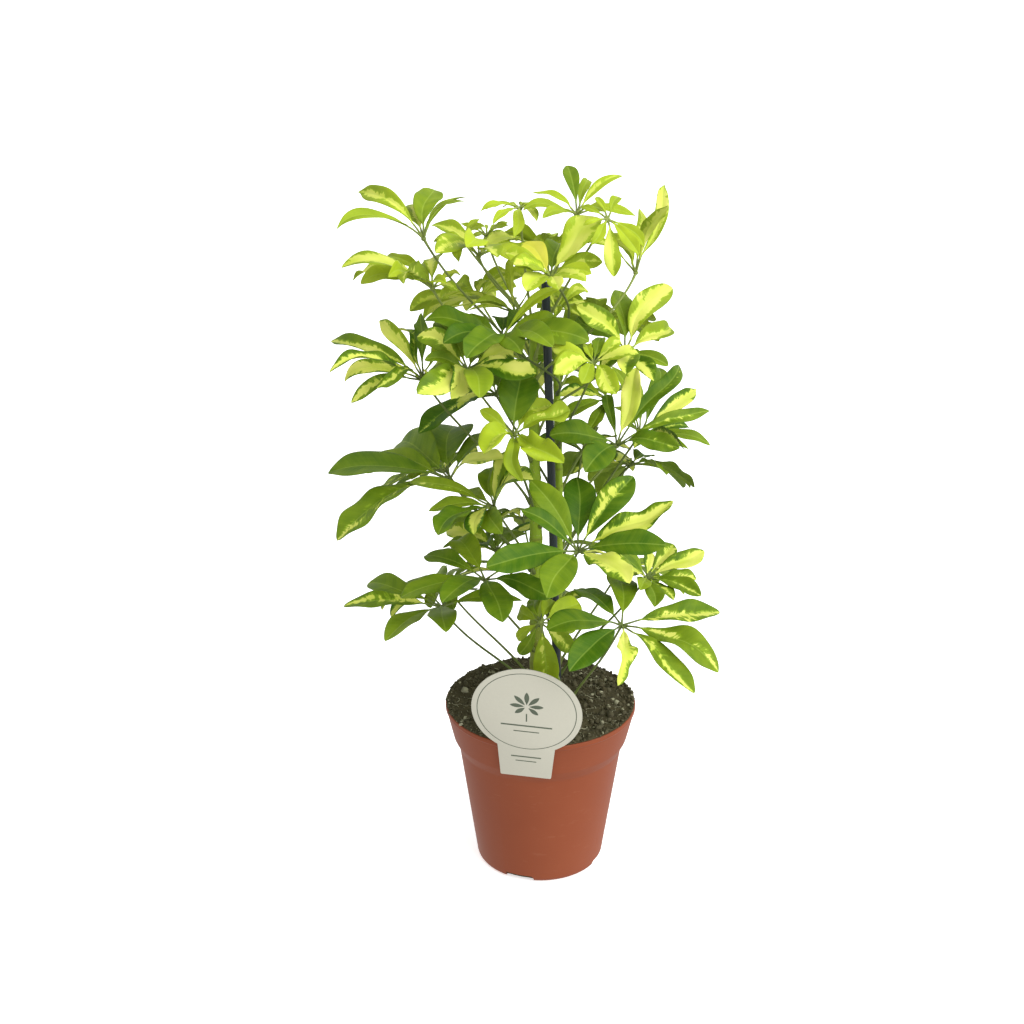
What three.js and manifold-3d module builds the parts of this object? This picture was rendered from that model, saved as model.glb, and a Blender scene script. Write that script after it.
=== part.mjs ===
// Potted variegated umbrella plant: a nursery pot filled with soil, three green stems, a dark
// stake, a round label on the rim, and one solid for each compound leaf.
// Millimetres, +Z up. The origin is the centre of the pot's underside, and -Y is the front.
import * as THREE from "three";
import { mergeVertices } from "three/addons/utils/BufferGeometryUtils.js";
import Module from "manifold-3d";

const wasm = await Module();
wasm.setup();

const degree = Math.PI / 180;
const up = new THREE.Vector3(0, 0, 1);

// Driving dimensions
const touchGap = 0.3;
const pot = {
  height: 155,
  lipRadius: 85,
  lipHeight: 5,
  lipReturn: 0.8,
  bandTopRadius: 84.2,
  bandBottomRadius: 77.2,
  bandBottomZ: 122,
  shoulderRadius: 73.4,
  shoulderZ: 117,
  footRadius: 56.5,
  footCorner: 8,
  wall: 1.6,
  floor: 2.2,
  sides: 36,
};
const notch = { count: 4, firstHeading: -110, width: 27, height: 6.5, depth: 15 };
const soil = { edgeZ: 153.5, crownZ: 156.5, crownRadius: 45 };
const stake = { foot: [20.5, 0, 20], top: [1.9, 0, 542], radius: 3.5, sides: 10 };
const label = {
  discRadius: 47.3,
  thickness: 0.8,
  tabTopWidth: 49.7,
  tabBottomWidth: 44.2,
  tabLength: 28,
  heading: -99,
  lean: 14,
  roll: 2.5,
  discCentreUp: 44.5,
  bridge: 8.5,
  tongueWidth: 18,
  tongueDepth: 50,
};
const stems = {
  main: {
    sides: 9,
    radii: [6.6, 6.2, 5.6, 4.6, 3.2],
    path: [[-3, 3, 62], [-3.5, 3, 150], [-4.5, 3, 310], [-7.5, 3, 440], [-7, 4, 506]],
  },
  side: {
    sides: 7,
    radii: [4.8, 4.4, 4, 3.4, 2.6],
    path: [[14, 21, 75], [14, 21, 150], [15, 19, 280], [14, 17, 400], [10, 15, 500]],
  },
  low: {
    sides: 6,
    radii: [3.2, 3, 2.8, 2.6, 2.2],
    path: [[20, -34, 95], [20, -35, 130], [21, -36, 152], [22, -38, 170], [23, -41, 186]],
  },
};
const stemSteps = 8;
const petiole = { sides: 4, baseRadius: 1.8, midRadius: 1.3, hubRadius: 1.2, steps: 5 };
const hub = { ringRadius: 2.6, topRise: 1.6, bottomDrop: 1.9, rootHalfHeight: 0.95 };
const leaflet = {
  stalkShare: 0.17,
  leastStalk: 7,
  stalkHalfWidth: 0.95,
  stalkHalfThickness: 0.85,
  widthPerLength: 0.4,
  halfThickness: 0.7,
  fold: 0.22,
  stations: [0, 0.23, 0.52, 0.83],
  shortStations: [0, 0.38, 0.76],
  clearance: 3,
  siblingClearance: 1.6,
  leastSpace: 1,
  siblingTurn: 25,
  steepestRoot: 66,
  lowestLift: -45,
  shortLength: 58,
  outlinePower: 1.3,
  outlineFullness: 0.65,
};

// One row for each compound leaf: name, stem that carries it, height of its base on that stem,
// hub position, way its upper side faces as heading and tilt from upright, then how light its
// green is, how broad its leaflets are and how far they arch, and its leaflets as turn round the
// hub, lift from the hub's plane, length and, where it differs, the leaflet's own breadth.
const leafPlan = [
  ["upper_left", "main", 460, [-96, -25, 584], [170, 15], [0.6, 0.75, 60], [
    [-124, 18, 60, 0.5], [-98, 28, 65], [-73, 35, 66, 0.6], [-32, 34, 87, 0.6], [45, 27, 88, 0.5],
    [150, 30, 62, 0.5]]],
  ["left_second", "main", 425, [-90, -15, 540], [170, 15], [0.65, 0.85, 60], [
    [-90, 20, 52, 1], [-38, 24, 70, 0.5], [-11, 16, 78], [38, 31, 84], [90, 25, 70], [165, 29, 52, 0.9]]],
  ["crown_left", "side", 479, [-53, 15, 559], [-60, 15], [0.75, 0.9, 60], [
    [-155, 10, 56], [-70, 10, 68], [-40, 30, 69], [10, 20, 66], [60, 10, 56], [115, -5, 61]]],
  ["young_left", "side", 470, [-67, 40, 567], [200, 20], [0.6, 0.75, 55], [
    [-160, 15, 26], [-75, 10, 18], [-20, 15, 26], [30, 5, 37], [60, 5, 37], [90, 30, 35], [120, 20, 30]]],
  ["young_middle", "side", 456, [-47, 55, 565], [-80, 10], [0.6, 0.75, 55], [
    [-115, 20, 26], [-45, 20, 31], [-20, 35, 35], [35, 20, 32], [75, 20, 26], [115, 20, 25], [170, 15, 18]]],
  ["young_top", "main", 482, [-19, 35, 594], [90, 10], [0.6, 0.6, 60], [
    [-155, -10, 41], [-125, 0, 38], [-5, 0, 31], [65, 0, 31], [115, 0, 38], [145, -5, 40], [175, -20, 49]]],
  ["top", "main", 494, [27, 10, 595], [0, 10], [0.5, 0.65, 50], [
    [-170, -5, 48], [-140, 0, 44], [-60, 20, 46], [0, 10, 50], [45, 36, 58], [78, 33, 62],
    [110, 24, 54, 0.85], [150, 0, 45]]],
  ["young_right", "main", 470, [50, -35, 602], [-70, 35], [0.75, 0.8, 55], [
    [-175, -15, 27], [-135, -5, 26], [-80, 0, 23], [-45, 0, 34], [-15, -10, 52], [10, -5, 44], [40, -5, 38],
    [145, -15, 33]]],
  ["upper_right", "main", 455, [75, -10, 552], [60, 10], [0.75, 0.55, 30], [
    [-140, 52, 90, 0.42], [0, 49, 94, 0.42], [25, 51, 80, 0.42], [62, 33, 56], [120, 30, 60],
    [175, 36, 56]]],
  ["crown_front", "side", 485, [5, -45, 557], [-90, 20], [0.9, 1.1, 50], [
    [-151, 8, 45], [-105, 25, 44], [-70, 33, 47], [-30, 25, 46], [45, 25, 42], [100, 20, 46], [138, 13, 66],
    [172, 14, 50]]],
  ["crown_curled", "side", 480, [11, 20, 510], [-40, 20], [0.6, 0.7, 80], [
    [-135, 10, 36], [-35, 20, 42], [35, 10, 35], [95, 15, 47], [125, 5, 42], [175, 10, 36]]],
  ["crown_centre", "main", 465, [-23, 25, 508], [160, 20], [0.55, 0.55, 30], [
    [-180, 25, 66], [-80, 40, 58], [30, 25, 69], [60, 35, 69], [90, 40, 71], [120, 45, 74], [150, 40, 71]]],
  ["arch_centre", "side", 440, [-34, -40, 504], [-80, 20], [0.45, 0.9, 60], [
    [-180, -20, 76], [-105, 10, 68], [-30, 25, 80], [30, 30, 79], [60, 15, 79], [120, 10, 68]]],
  ["right_high", "main", 418, [66, -35, 492], [-70, 30], [0.5, 1, 50], [
    [-155, 0, 62], [-120, 37, 62], [-74, 5, 56], [-20, 30, 62], [12, 42, 48], [109, 0, 58], [137, 26, 72],
    [169, 15, 66]]],
  ["right_bright", "side", 390, [39, -75, 495], [-90, 30], [0.85, 1.15, 60], [
    [-110, 15, 39], [-55, 25, 48], [20, 15, 48], [90, 15, 40], [120, 10, 33], [170, 5, 33]]],
  ["left_far", "main", 340, [-98, -20, 463], [190, 20], [0.45, 0.85, 50], [
    [-119, 35, 70], [-70, 34, 74], [-45, 32, 104], [5, 13, 68], [30, 38, 94], [56, 29, 64], [100, 15, 66],
    [150, 20, 70]]],
  ["left_inner", "main", 380, [-61, -60, 485], [-85, 35], [0.5, 1.1, 60], [
    [-170, 5, 58], [-140, 5, 53], [-40, 25, 70], [10, 40, 69], [70, 15, 61], [130, 10, 63], [160, -10, 38]]],
  ["middle_back", "side", 340, [-39, 55, 425], [150, 25], [0.15, 0.8, 40], [
    [-140, 15, 63], [-60, 15, 63], [-3, 10, 52], [59, -2, 84], [110, 15, 77], [145, 15, 76]]],
  ["left_middle", "main", 275, [-78, -15, 373], [190, 25], [0.3, 0.9, 50], [
    [-135, -5, 93], [-105, 5, 95], [-75, 10, 96], [-45, 15, 98], [-15, 25, 108], [15, 5, 114],
    [130, 15, 80]]],
  ["front_left", "main", 275, [-40, -60, 366], [220, 35], [0.35, 1, 45], [
    [-130, 0, 56], [-100, -5, 56], [-70, 25, 83], [10, 35, 75], [60, 25, 65], [110, 50, 80], [170, 25, 65]]],
  ["inner_left", "side", 221, [-39, 30, 287], [120, 25], [0.2, 0.9, 50], [
    [-110, 20, 51], [-40, 30, 67], [20, 25, 66], [65, 20, 51], [110, 5, 61], [175, 5, 60]]],
  ["low_left_front", "main", 200, [-48, -70, 305], [-100, 20], [0.25, 1, 60], [
    [-150, -15, 71], [-115, -10, 67], [-60, 5, 77], [-20, 25, 73], [25, 20, 75], [70, 5, 66], [120, 0, 70]]],
  ["low_left", "main", 160, [-86, -35, 264], [-120, 15], [0.35, 0.85, 30], [
    [-170, -25, 82], [-125, -15, 82], [-95, 0, 86], [-65, 0, 86], [-5, 15, 81], [35, 25, 83], [110, 0, 71]]],
  ["middle", "main", 330, [-25, -80, 437], [-85, 35], [0.45, 1.2, 55], [
    [-125, 15, 35], [-45, 35, 58], [-5, 15, 56], [35, 25, 59], [100, 15, 57], [135, 5, 48], [170, 10, 58]]],
  ["right_middle", "main", 320, [63, -5, 400], [-60, 20], [0.35, 0.6, 50], [
    [-105, 18, 72, 1], [-60, 10, 66, 1], [30, 28, 62, 1], [86, 14, 96, 0.5], [112, 28, 108], [138, 34, 76],
    [168, 20, 60]]],
  ["right_far", "side", 280, [84, 37, 393], [0, 35], [0.4, 0.55, 45], [
    [-115, 35, 80], [-80, 25, 78], [-5, 30, 66], [60, 40, 86], [90, 45, 92], [160, 30, 68]]],
  ["right_inner", "side", 345, [57, 35, 427], [30, 10], [0.35, 0.9, 40], [
    [-155, 20, 67], [-130, 5, 68], [-100, 25, 68], [40, 15, 54], [115, 15, 54], [175, 10, 67]]],
  ["front_right", "main", 225, [28, -90, 340], [-85, 35], [0.3, 1.1, 30], [
    [-150, 20, 71], [-120, 30, 60], [-70, 20, 90], [-30, 30, 86], [25, 35, 82], [80, 25, 77], [110, 20, 90],
    [140, 20, 78], [175, 15, 68]]],
  ["low_right_back", "side", 165, [91, -5, 277], [-50, 25], [0.5, 0.95, 30], [
    [-170, 20, 39], [-85, 35, 61], [-35, 20, 53], [15, 25, 58], [80, 20, 61], [110, 15, 53]]],
  ["low_right", "low", 165, [66, -80, 268], [-65, 20], [0.35, 0.95, 35], [
    [-180, -20, 81], [-85, 20, 86], [-55, 15, 88], [-25, 10, 89], [8, 12, 96], [34, 6, 98], [80, 5, 91],
    [145, -10, 85]]],
  ["low_arch", "side", 175, [14, 48, 214], [20, 10], [0.1, 0.9, 70], [
    [-120, 20, 39], [20, 25, 53], [55, 25, 53], [95, 15, 42], [170, 20, 39]]],
  ["low_front", "low", 170, [-2, -80, 271], [-90, 45], [0.55, 1.2, 40], [
    [-165, -45, 51], [-35, -30, 34], [10, -25, 58], [55, -30, 39], [125, -25, 51]]],
  ["right_back", "side", 270, [37, 70, 367], [85, 30], [0.2, 1, 40], [
    [-170, 20, 51], [-140, 20, 51], [-40, -10, 71], [-10, 15, 63], [15, -10, 70], [45, 15, 61]]],
  ["back_high_left", "side", 420, [-54, 95, 500], [125, 35], [0.4, 1, 45], whorl(6, 10, 72, 10)],
  ["back_high_right", "main", 400, [45, 90, 480], [60, 35], [0.4, 1, 45], whorl(6, 25, 78, 10)],
  ["back_top", "side", 450, [5, 85, 545], [95, 20], [0.5, 1, 45], whorl(6, 0, 62, 15)],
  ["back_middle", "main", 310, [-5, 115, 430], [90, 40], [0.3, 1, 45], whorl(7, 5, 84, 8)],
  ["back_left", "side", 240, [-85, 80, 345], [140, 35], [0.3, 1, 45], whorl(6, 15, 82, 5)],
  ["back_right", "main", 240, [82, 95, 345], [45, 35], [0.3, 1, 45], whorl(6, -10, 76, 5)],
  ["back_low", "side", 190, [-15, 110, 285], [100, 30], [0.25, 1, 45], whorl(7, 20, 80, 0)],
  ["back_low_right", "side", 175, [75, 75, 255], [35, 25], [0.25, 1, 45], whorl(6, 0, 74, 0)],
  ["back_low_left", "main", 170, [-85, 60, 240], [150, 25], [0.25, 1, 45], whorl(6, 10, 74, 0)],
];

// An even whorl: its leaflets are longest on the side that the leaf faces.
function whorl(count, firstTurn, length, lift) {
  const leaflets = [];
  for (let index = 0; index < count; index += 1) {
    const turn = firstTurn + (360 * index) / count;
    const reach = 1 - 0.15 * (1 - Math.cos(turn * degree));
    leaflets.push([turn, lift, Math.round(length * reach)]);
  }
  return leaflets;
}

function vector(point) {
  return new THREE.Vector3(...point);
}

function heading(angle) {
  return new THREE.Vector3(Math.cos(angle * degree), Math.sin(angle * degree), 0);
}

// Solids and joins

function closedGeometry(points, triangles) {
  const geometry = new THREE.BufferGeometry();
  geometry.setAttribute("position", new THREE.Float32BufferAttribute(points.flatMap((p) => p.toArray()), 3));
  geometry.setIndex(triangles.flat());
  return geometry;
}

function toSolid(geometry) {
  const bare = geometry.clone();
  bare.deleteAttribute("normal");
  bare.deleteAttribute("uv");
  const merged = mergeVertices(bare, 1e-4);
  const vertProperties = new Float32Array(merged.attributes.position.array);
  const triVerts = new Uint32Array(merged.index.array);
  return new wasm.Manifold(new wasm.Mesh({ numProp: 3, vertProperties, triVerts }));
}

function toGeometry(solid) {
  const mesh = solid.getMesh();
  const geometry = new THREE.BufferGeometry();
  geometry.setAttribute("position", new THREE.Float32BufferAttribute(mesh.vertProperties, mesh.numProp));
  geometry.setIndex(Array.from(mesh.triVerts));
  return geometry;
}

// A closed skin over rings that all have the same number of points, flat at both ends
function skin(rings) {
  const sides = rings[0].length;
  const points = rings.flat();
  const triangles = [];
  for (let ring = 0; ring + 1 < rings.length; ring += 1) {
    for (let side = 0; side < sides; side += 1) {
      const next = (side + 1) % sides;
      const [a, b] = [ring * sides + side, ring * sides + next];
      triangles.push([a, b, b + sides], [a, b + sides, a + sides]);
    }
  }
  const last = (rings.length - 1) * sides;
  for (let side = 1; side + 1 < sides; side += 1) {
    triangles.push([0, side + 1, side], [last, last + side, last + side + 1]);
  }
  return closedGeometry(points, triangles);
}

// A tapered round rod along a curve
function rod(curve, radiusAt, sides, steps) {
  const frames = curve.computeFrenetFrames(steps, false);
  const rings = [];
  for (let step = 0; step <= steps; step += 1) {
    const share = step / steps;
    const centre = curve.getPointAt(share);
    const ring = [];
    for (let side = 0; side < sides; side += 1) {
      const angle = (2 * Math.PI * side) / sides;
      const across = frames.normals[step].clone().multiplyScalar(Math.cos(angle));
      const along = frames.binormals[step].clone().multiplyScalar(Math.sin(angle));
      ring.push(centre.clone().addScaledVector(across.add(along), radiusAt(share)));
    }
    rings.push(ring);
  }
  return skin(rings);
}

// Pot and soil

function buildPot() {
  const innerFoot = pot.footRadius - pot.wall;
  const profile = [
    [0, 0],
    [pot.footRadius - pot.footCorner, 0],
    [pot.footRadius - pot.footCorner * 0.3, pot.footCorner * 0.3],
    [pot.footRadius, pot.footCorner],
    [pot.shoulderRadius, pot.shoulderZ],
    [pot.bandBottomRadius, pot.bandBottomZ],
    [pot.bandTopRadius, pot.height - pot.lipHeight],
    [pot.lipRadius, pot.height - pot.lipHeight * 0.6],
    [pot.lipRadius, pot.height - pot.lipReturn],
    [pot.lipRadius - pot.lipReturn, pot.height],
    [pot.lipRadius - 2 * pot.wall, pot.height],
    [pot.bandBottomRadius - pot.wall, pot.bandBottomZ + 1],
    [pot.shoulderRadius - pot.wall, pot.shoulderZ + 1],
    [innerFoot, pot.footCorner + pot.floor],
    [innerFoot - pot.footCorner * 0.7, pot.floor],
    [0, pot.floor],
  ].map(([radius, z]) => new THREE.Vector2(radius, z));
  const shell = new THREE.LatheGeometry(profile, pot.sides);
  shell.rotateX(Math.PI / 2);
  let body = toSolid(shell);
  for (let index = 0; index < notch.count; index += 1) {
    const angle = notch.firstHeading + (360 * index) / notch.count;
    const cutter = new THREE.BoxGeometry(notch.depth, notch.width, 2 * notch.height);
    cutter.translate(pot.footRadius, 0, 0);
    cutter.rotateZ(angle * degree);
    body = body.subtract(toSolid(cutter));
  }
  return toGeometry(body);
}

function buildSoil(holes) {
  const inset = pot.wall + touchGap;
  const foot = pot.footRadius - inset;
  const bandGrowth = pot.lipRadius - pot.wall - pot.bandBottomRadius;
  const bandShare = (soil.edgeZ - pot.bandBottomZ - 1) / (pot.height - pot.bandBottomZ - 1);
  const edge = pot.bandBottomRadius - inset + bandGrowth * bandShare;
  const profile = [
    [0, pot.floor + touchGap],
    [foot - pot.footCorner * 0.7, pot.floor + touchGap],
    [foot, pot.footCorner + pot.floor + touchGap],
    [pot.shoulderRadius - inset, pot.shoulderZ + 1],
    [pot.bandBottomRadius - inset, pot.bandBottomZ + 1 + touchGap],
    [edge - touchGap, soil.edgeZ],
    [soil.crownRadius, soil.crownZ - 1],
    [0, soil.crownZ],
  ].map(([radius, z]) => new THREE.Vector2(radius, z));
  const fill = new THREE.LatheGeometry(profile, pot.sides);
  fill.rotateX(Math.PI / 2);
  let body = toSolid(fill);
  for (const hole of holes) {
    body = body.subtract(toSolid(hole));
  }
  return toGeometry(body);
}

// Label: a disc with a tab in front of the rim band and a tongue behind it in the soil

function labelPlate(grow) {
  const outline = new THREE.Shape();
  const half = label.tabTopWidth / 2;
  const chord = Math.sqrt(label.discRadius ** 2 - half ** 2);
  const start = Math.atan2(-chord, half);
  outline.absarc(0, 0, label.discRadius, start, Math.PI - start, false);
  outline.lineTo(-label.tabBottomWidth / 2, -label.discRadius - label.tabLength);
  outline.lineTo(label.tabBottomWidth / 2, -label.discRadius - label.tabLength);
  outline.closePath();
  const depth = label.thickness + 2 * grow;
  const plate = new THREE.ExtrudeGeometry(outline, { depth, bevelEnabled: false, curveSegments: 32 });
  plate.translate(0, 0, -depth / 2);
  return plate;
}

// The tongue leaves the plate just above the rim, crosses it level and goes down inside
function labelTongue(grow) {
  const level = Math.tan(label.lean * degree);
  const rollRise = (label.tongueWidth / 2) * Math.sin(label.roll * degree);
  const rise = pot.lipHeight * 0.6 + touchGap + rollRise;
  const bridgeUp = rise / Math.cos(label.lean * degree) - label.discCentreUp;
  const thick = label.thickness + grow;
  const outline = new THREE.Shape();
  const corner = (back, more) => outline.lineTo(-back, bridgeUp - back * level + more);
  outline.moveTo(0, bridgeUp - grow);
  corner(label.bridge - grow, -grow);
  corner(label.bridge - grow, -label.tongueDepth - grow);
  corner(label.bridge + thick, -label.tongueDepth - grow);
  corner(label.bridge + thick, thick);
  corner(0, thick);
  outline.closePath();
  const depth = label.tongueWidth + 2 * grow;
  const tongue = new THREE.ExtrudeGeometry(outline, { depth, bevelEnabled: false });
  tongue.translate(0, 0, -depth / 2);
  tongue.rotateY(-Math.PI / 2);
  return tongue;
}

function placeLabel(geometry) {
  const lean = label.lean * degree;
  const contact = pot.lipRadius + touchGap + label.thickness / 2 / Math.cos(lean);
  geometry.translate(0, label.discCentreUp, 0);
  geometry.rotateZ(-label.roll * degree);
  geometry.rotateX(Math.PI / 2 + lean);
  geometry.translate(0, -contact, pot.height - pot.lipHeight * 0.6);
  geometry.rotateZ((label.heading + 90) * degree);
  return geometry;
}

function buildLabel() {
  return placeLabel(toGeometry(toSolid(labelPlate(0)).add(toSolid(labelTongue(0)))));
}

// Stems and stake

function stemCurve(name) {
  return new THREE.CatmullRomCurve3(stems[name].path.map(vector));
}

// A rod grown to make room for it in a neighbour also reaches past the rod's ends
function raised(point, rise) {
  return point.clone().addScaledVector(up, rise);
}

function stemRod(name, grow) {
  const { radii, sides } = stems[name];
  const radiusAt = (share) => {
    const place = share * (radii.length - 1);
    const index = Math.min(Math.floor(place), radii.length - 2);
    return THREE.MathUtils.lerp(radii[index], radii[index + 1], place - index) + grow;
  };
  const path = stems[name].path.map(vector);
  path[0] = raised(path[0], -2 * grow);
  path[path.length - 1] = raised(path[path.length - 1], 2 * grow);
  return rod(new THREE.CatmullRomCurve3(path), radiusAt, sides, stemSteps);
}

function stemPoint(name, z) {
  const curve = stemCurve(name);
  let best = curve.getPointAt(0);
  for (let step = 0; step <= 400; step += 1) {
    const point = curve.getPointAt(step / 400);
    if (Math.abs(point.z - z) < Math.abs(best.z - z)) {
      best = point;
    }
  }
  return best;
}

function stakeRod(grow) {
  const line = new THREE.LineCurve3(raised(vector(stake.foot), -2 * grow), vector(stake.top));
  return rod(line, () => stake.radius + grow, stake.sides, 1);
}

// Leaves

function leafFrame([faceHeading, faceTilt]) {
  const out = heading(faceHeading);
  const axis = up.clone().multiplyScalar(Math.cos(faceTilt * degree));
  axis.addScaledVector(out, Math.sin(faceTilt * degree));
  const forward = out.clone().multiplyScalar(Math.cos(faceTilt * degree));
  forward.addScaledVector(up, -Math.sin(faceTilt * degree));
  return { axis, forward, side: axis.clone().cross(forward) };
}

function turned(frame, turn) {
  const direction = frame.forward.clone().multiplyScalar(Math.cos(turn * degree));
  return direction.addScaledVector(frame.side, Math.sin(turn * degree));
}

function stalkShare(shape) {
  return Math.max(leaflet.stalkShare, leaflet.leastStalk / shape.length);
}

// Half width of a leaflet at a share of its blade, which starts where its stalk ends
function halfWidth(shape, blade) {
  if (blade >= 1) {
    return 0;
  }
  const full = (leaflet.widthPerLength * shape.breadth * shape.length * (1 - stalkShare(shape))) / 2;
  const outline = Math.sin(Math.PI * blade ** leaflet.outlinePower) ** leaflet.outlineFullness;
  return Math.max(full * outline, leaflet.stalkHalfWidth * (1 - blade));
}

// Places along a leaflet's midrib, which arches away from the side that its leaf faces
function midrib(centre, frame, shape, blades) {
  const stalk = stalkShare(shape);
  const shares = blades.map((blade) => stalk + blade * (1 - stalk));
  const radial = turned(frame, shape.turn);
  const across = frame.axis.clone().cross(radial);
  const steps = 24;
  const point = centre.clone();
  const places = [];
  for (let step = 0; step <= steps; step += 1) {
    const from = step / steps;
    const angle = (shape.lift + shape.arch / 2 - shape.arch * from) * degree;
    const [ahead, rise] = [Math.cos(angle), Math.sin(angle)];
    const along = radial.clone().multiplyScalar(ahead).addScaledVector(frame.axis, rise);
    const normal = frame.axis.clone().multiplyScalar(ahead).addScaledVector(radial, -rise);
    while (places.length < shares.length && shares[places.length] < (step + 0.5) / steps) {
      const share = shares[places.length];
      const onward = (share - from) * shape.length;
      const blade = blades[places.length];
      places.push({ point: point.clone().addScaledVector(along, onward), normal, across, blade });
    }
    point.addScaledVector(along, shape.length / steps);
  }
  return places;
}

function section(place, shape) {
  const stalk = place.blade === 0;
  const half = halfWidth(shape, place.blade);
  const thick = stalk ? leaflet.stalkHalfThickness : leaflet.halfThickness;
  const edge = place.point.clone().addScaledVector(place.normal, stalk ? 0 : half * leaflet.fold);
  return [
    edge.clone().addScaledVector(place.across, -half),
    place.point.clone().addScaledVector(place.normal, thick),
    edge.clone().addScaledVector(place.across, half),
    place.point.clone().addScaledVector(place.normal, -thick),
  ];
}

// Hub and leaflets as one closed skin: each leaflet's root is a facet of the hub
function whorlGeometry(centre, frame, shapes) {
  const points = [
    centre.clone().addScaledVector(frame.axis, hub.topRise),
    centre.clone().addScaledVector(frame.axis, -hub.bottomDrop),
  ];
  const triangles = [];
  const count = shapes.length;
  const between = shapes.map(({ turn }, index) => {
    const nextTurn = shapes[(index + 1) % count].turn + (index + 1 === count ? 360 : 0);
    const spot = centre.clone().addScaledVector(turned(frame, (turn + nextTurn) / 2), hub.ringRadius);
    return points.push(spot) - 1;
  });
  shapes.forEach((shape, index) => {
    const root = centre.clone().addScaledVector(turned(frame, shape.turn), hub.ringRadius);
    const top = points.push(root.clone().addScaledVector(frame.axis, hub.rootHalfHeight)) - 1;
    const bottom = points.push(root.clone().addScaledVector(frame.axis, -hub.rootHalfHeight)) - 1;
    const left = between[(index + count - 1) % count];
    const right = between[index];
    triangles.push([0, top, right], [0, left, top], [1, right, bottom], [1, bottom, left]);
    let ring = [left, top, right, bottom];
    const stations = shape.length < leaflet.shortLength ? leaflet.shortStations : leaflet.stations;
    for (const place of midrib(centre, frame, shape, stations)) {
      const next = section(place, shape).map((point) => points.push(point) - 1);
      for (let side = 0; side < 4; side += 1) {
        const after = (side + 1) % 4;
        triangles.push([ring[side], next[side], next[after]], [ring[side], next[after], ring[after]]);
      }
      ring = next;
    }
    const tip = points.push(midrib(centre, frame, shape, [1])[0].point) - 1;
    for (let side = 0; side < 4; side += 1) {
      triangles.push([ring[side], tip, ring[(side + 1) % 4]]);
    }
  });
  return closedGeometry(points, triangles);
}

function petioleCurve(leaf, bow) {
  const base = stemPoint(leaf.stem, leaf.baseZ);
  const end = leaf.centre;
  const chord = end.clone().sub(base);
  const reach = chord.length();
  const sideways = up.clone().cross(chord).normalize().multiplyScalar(bow);
  const arrive = leaf.frame.axis.clone().lerp(chord.clone().normalize(), 0.5).normalize();
  const first = base.clone().addScaledVector(chord, 0.33).addScaledVector(up, 0.06 * reach).add(sideways);
  const second = end.clone().addScaledVector(arrive, -0.3 * reach).add(sideways);
  return new THREE.CubicBezierCurve3(base, first, second, end);
}

function petioleRadius(share) {
  const swell = Math.max(0, 1 - share * 8) * (petiole.baseRadius - petiole.midRadius);
  return swell + THREE.MathUtils.lerp(petiole.midRadius, petiole.hubRadius, share);
}

// A petiole takes more space where it ends in the hub
function petioleSpace(share) {
  return share < 1 ? petioleRadius(share) : hub.ringRadius;
}

// What stands in the way: rods as spots with a radius, blades as thin faces

function obstacle(spots, faces) {
  const box = new THREE.Box3().setFromPoints(spots.map((spot) => spot.point));
  return { spots, faces, box };
}

function rodObstacle(curve, radiusAt, from, to) {
  const spots = [];
  const steps = Math.ceil(curve.getLength() / 4);
  for (let step = 0; step <= steps; step += 1) {
    const share = step / steps;
    if (share >= from && share <= to) {
      spots.push({ point: curve.getPointAt(share), radius: radiusAt(share) });
    }
  }
  return obstacle(spots, []);
}

function plateObstacle(geometry) {
  const position = geometry.attributes.position;
  const points = [];
  for (let index = 0; index < position.count; index += 1) {
    points.push(new THREE.Vector3().fromBufferAttribute(position, index));
  }
  const faces = [];
  for (let index = 0; index + 2 < points.length; index += 3) {
    faces.push(new THREE.Triangle(points[index], points[index + 1], points[index + 2]));
  }
  return obstacle(points.map((point) => ({ point, radius: 0 })), faces);
}

function stripObstacle(leaf, shape, from, to) {
  const count = Math.ceil(((to - from) * shape.length) / 6) + 1;
  const blades = Array.from({ length: count + 1 }, (_, index) => from + ((to - from) * index) / count);
  const rows = midrib(leaf.centre, leaf.frame, shape, blades).map((place) => {
    const half = place.blade < 0 ? leaflet.stalkHalfWidth : halfWidth(shape, place.blade);
    const row = [];
    for (const side of [-1, -0.5, 0, 0.5, 1]) {
      const spot = place.point.clone().addScaledVector(place.across, side * half);
      row.push(spot.addScaledVector(place.normal, Math.abs(side) * half * leaflet.fold));
    }
    return row;
  });
  const faces = [];
  for (let index = 0; index + 1 < rows.length; index += 1) {
    for (const side of [0, 2]) {
      const [a, b] = [rows[index][side], rows[index][side + 2]];
      const [c, d] = [rows[index + 1][side + 2], rows[index + 1][side]];
      faces.push(new THREE.Triangle(a, b, c), new THREE.Triangle(a, c, d));
    }
  }
  return obstacle(rows.flat().map((point) => ({ point, radius: leaflet.halfThickness })), faces);
}

const nearest = new THREE.Vector3();

function spotsToFaces(a, b, wanted) {
  let least = wanted;
  for (const spot of a.spots) {
    if (b.box.distanceToPoint(spot.point) > least + spot.radius) {
      continue;
    }
    for (const face of b.faces) {
      face.closestPointToPoint(spot.point, nearest);
      least = Math.min(least, nearest.distanceTo(spot.point) - spot.radius);
    }
  }
  return least;
}

function spotsToSpots(a, b, wanted) {
  let least = wanted;
  for (const one of a.spots) {
    for (const other of b.spots) {
      least = Math.min(least, one.point.distanceTo(other.point) - one.radius - other.radius);
    }
  }
  return least;
}

// Free space between a new piece and what stands near it, up to the space wanted
function freeSpace(piece, others, wanted) {
  const reach = piece.box.clone().expandByScalar(wanted + stake.radius);
  let least = wanted;
  for (const other of others) {
    if (!reach.intersectsBox(other.box)) {
      continue;
    }
    if (piece.faces.length + other.faces.length === 0) {
      least = spotsToSpots(piece, other, least);
    } else {
      least = spotsToFaces(piece, other, least);
      least = spotsToFaces(other, piece, least);
    }
  }
  return least;
}

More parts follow.
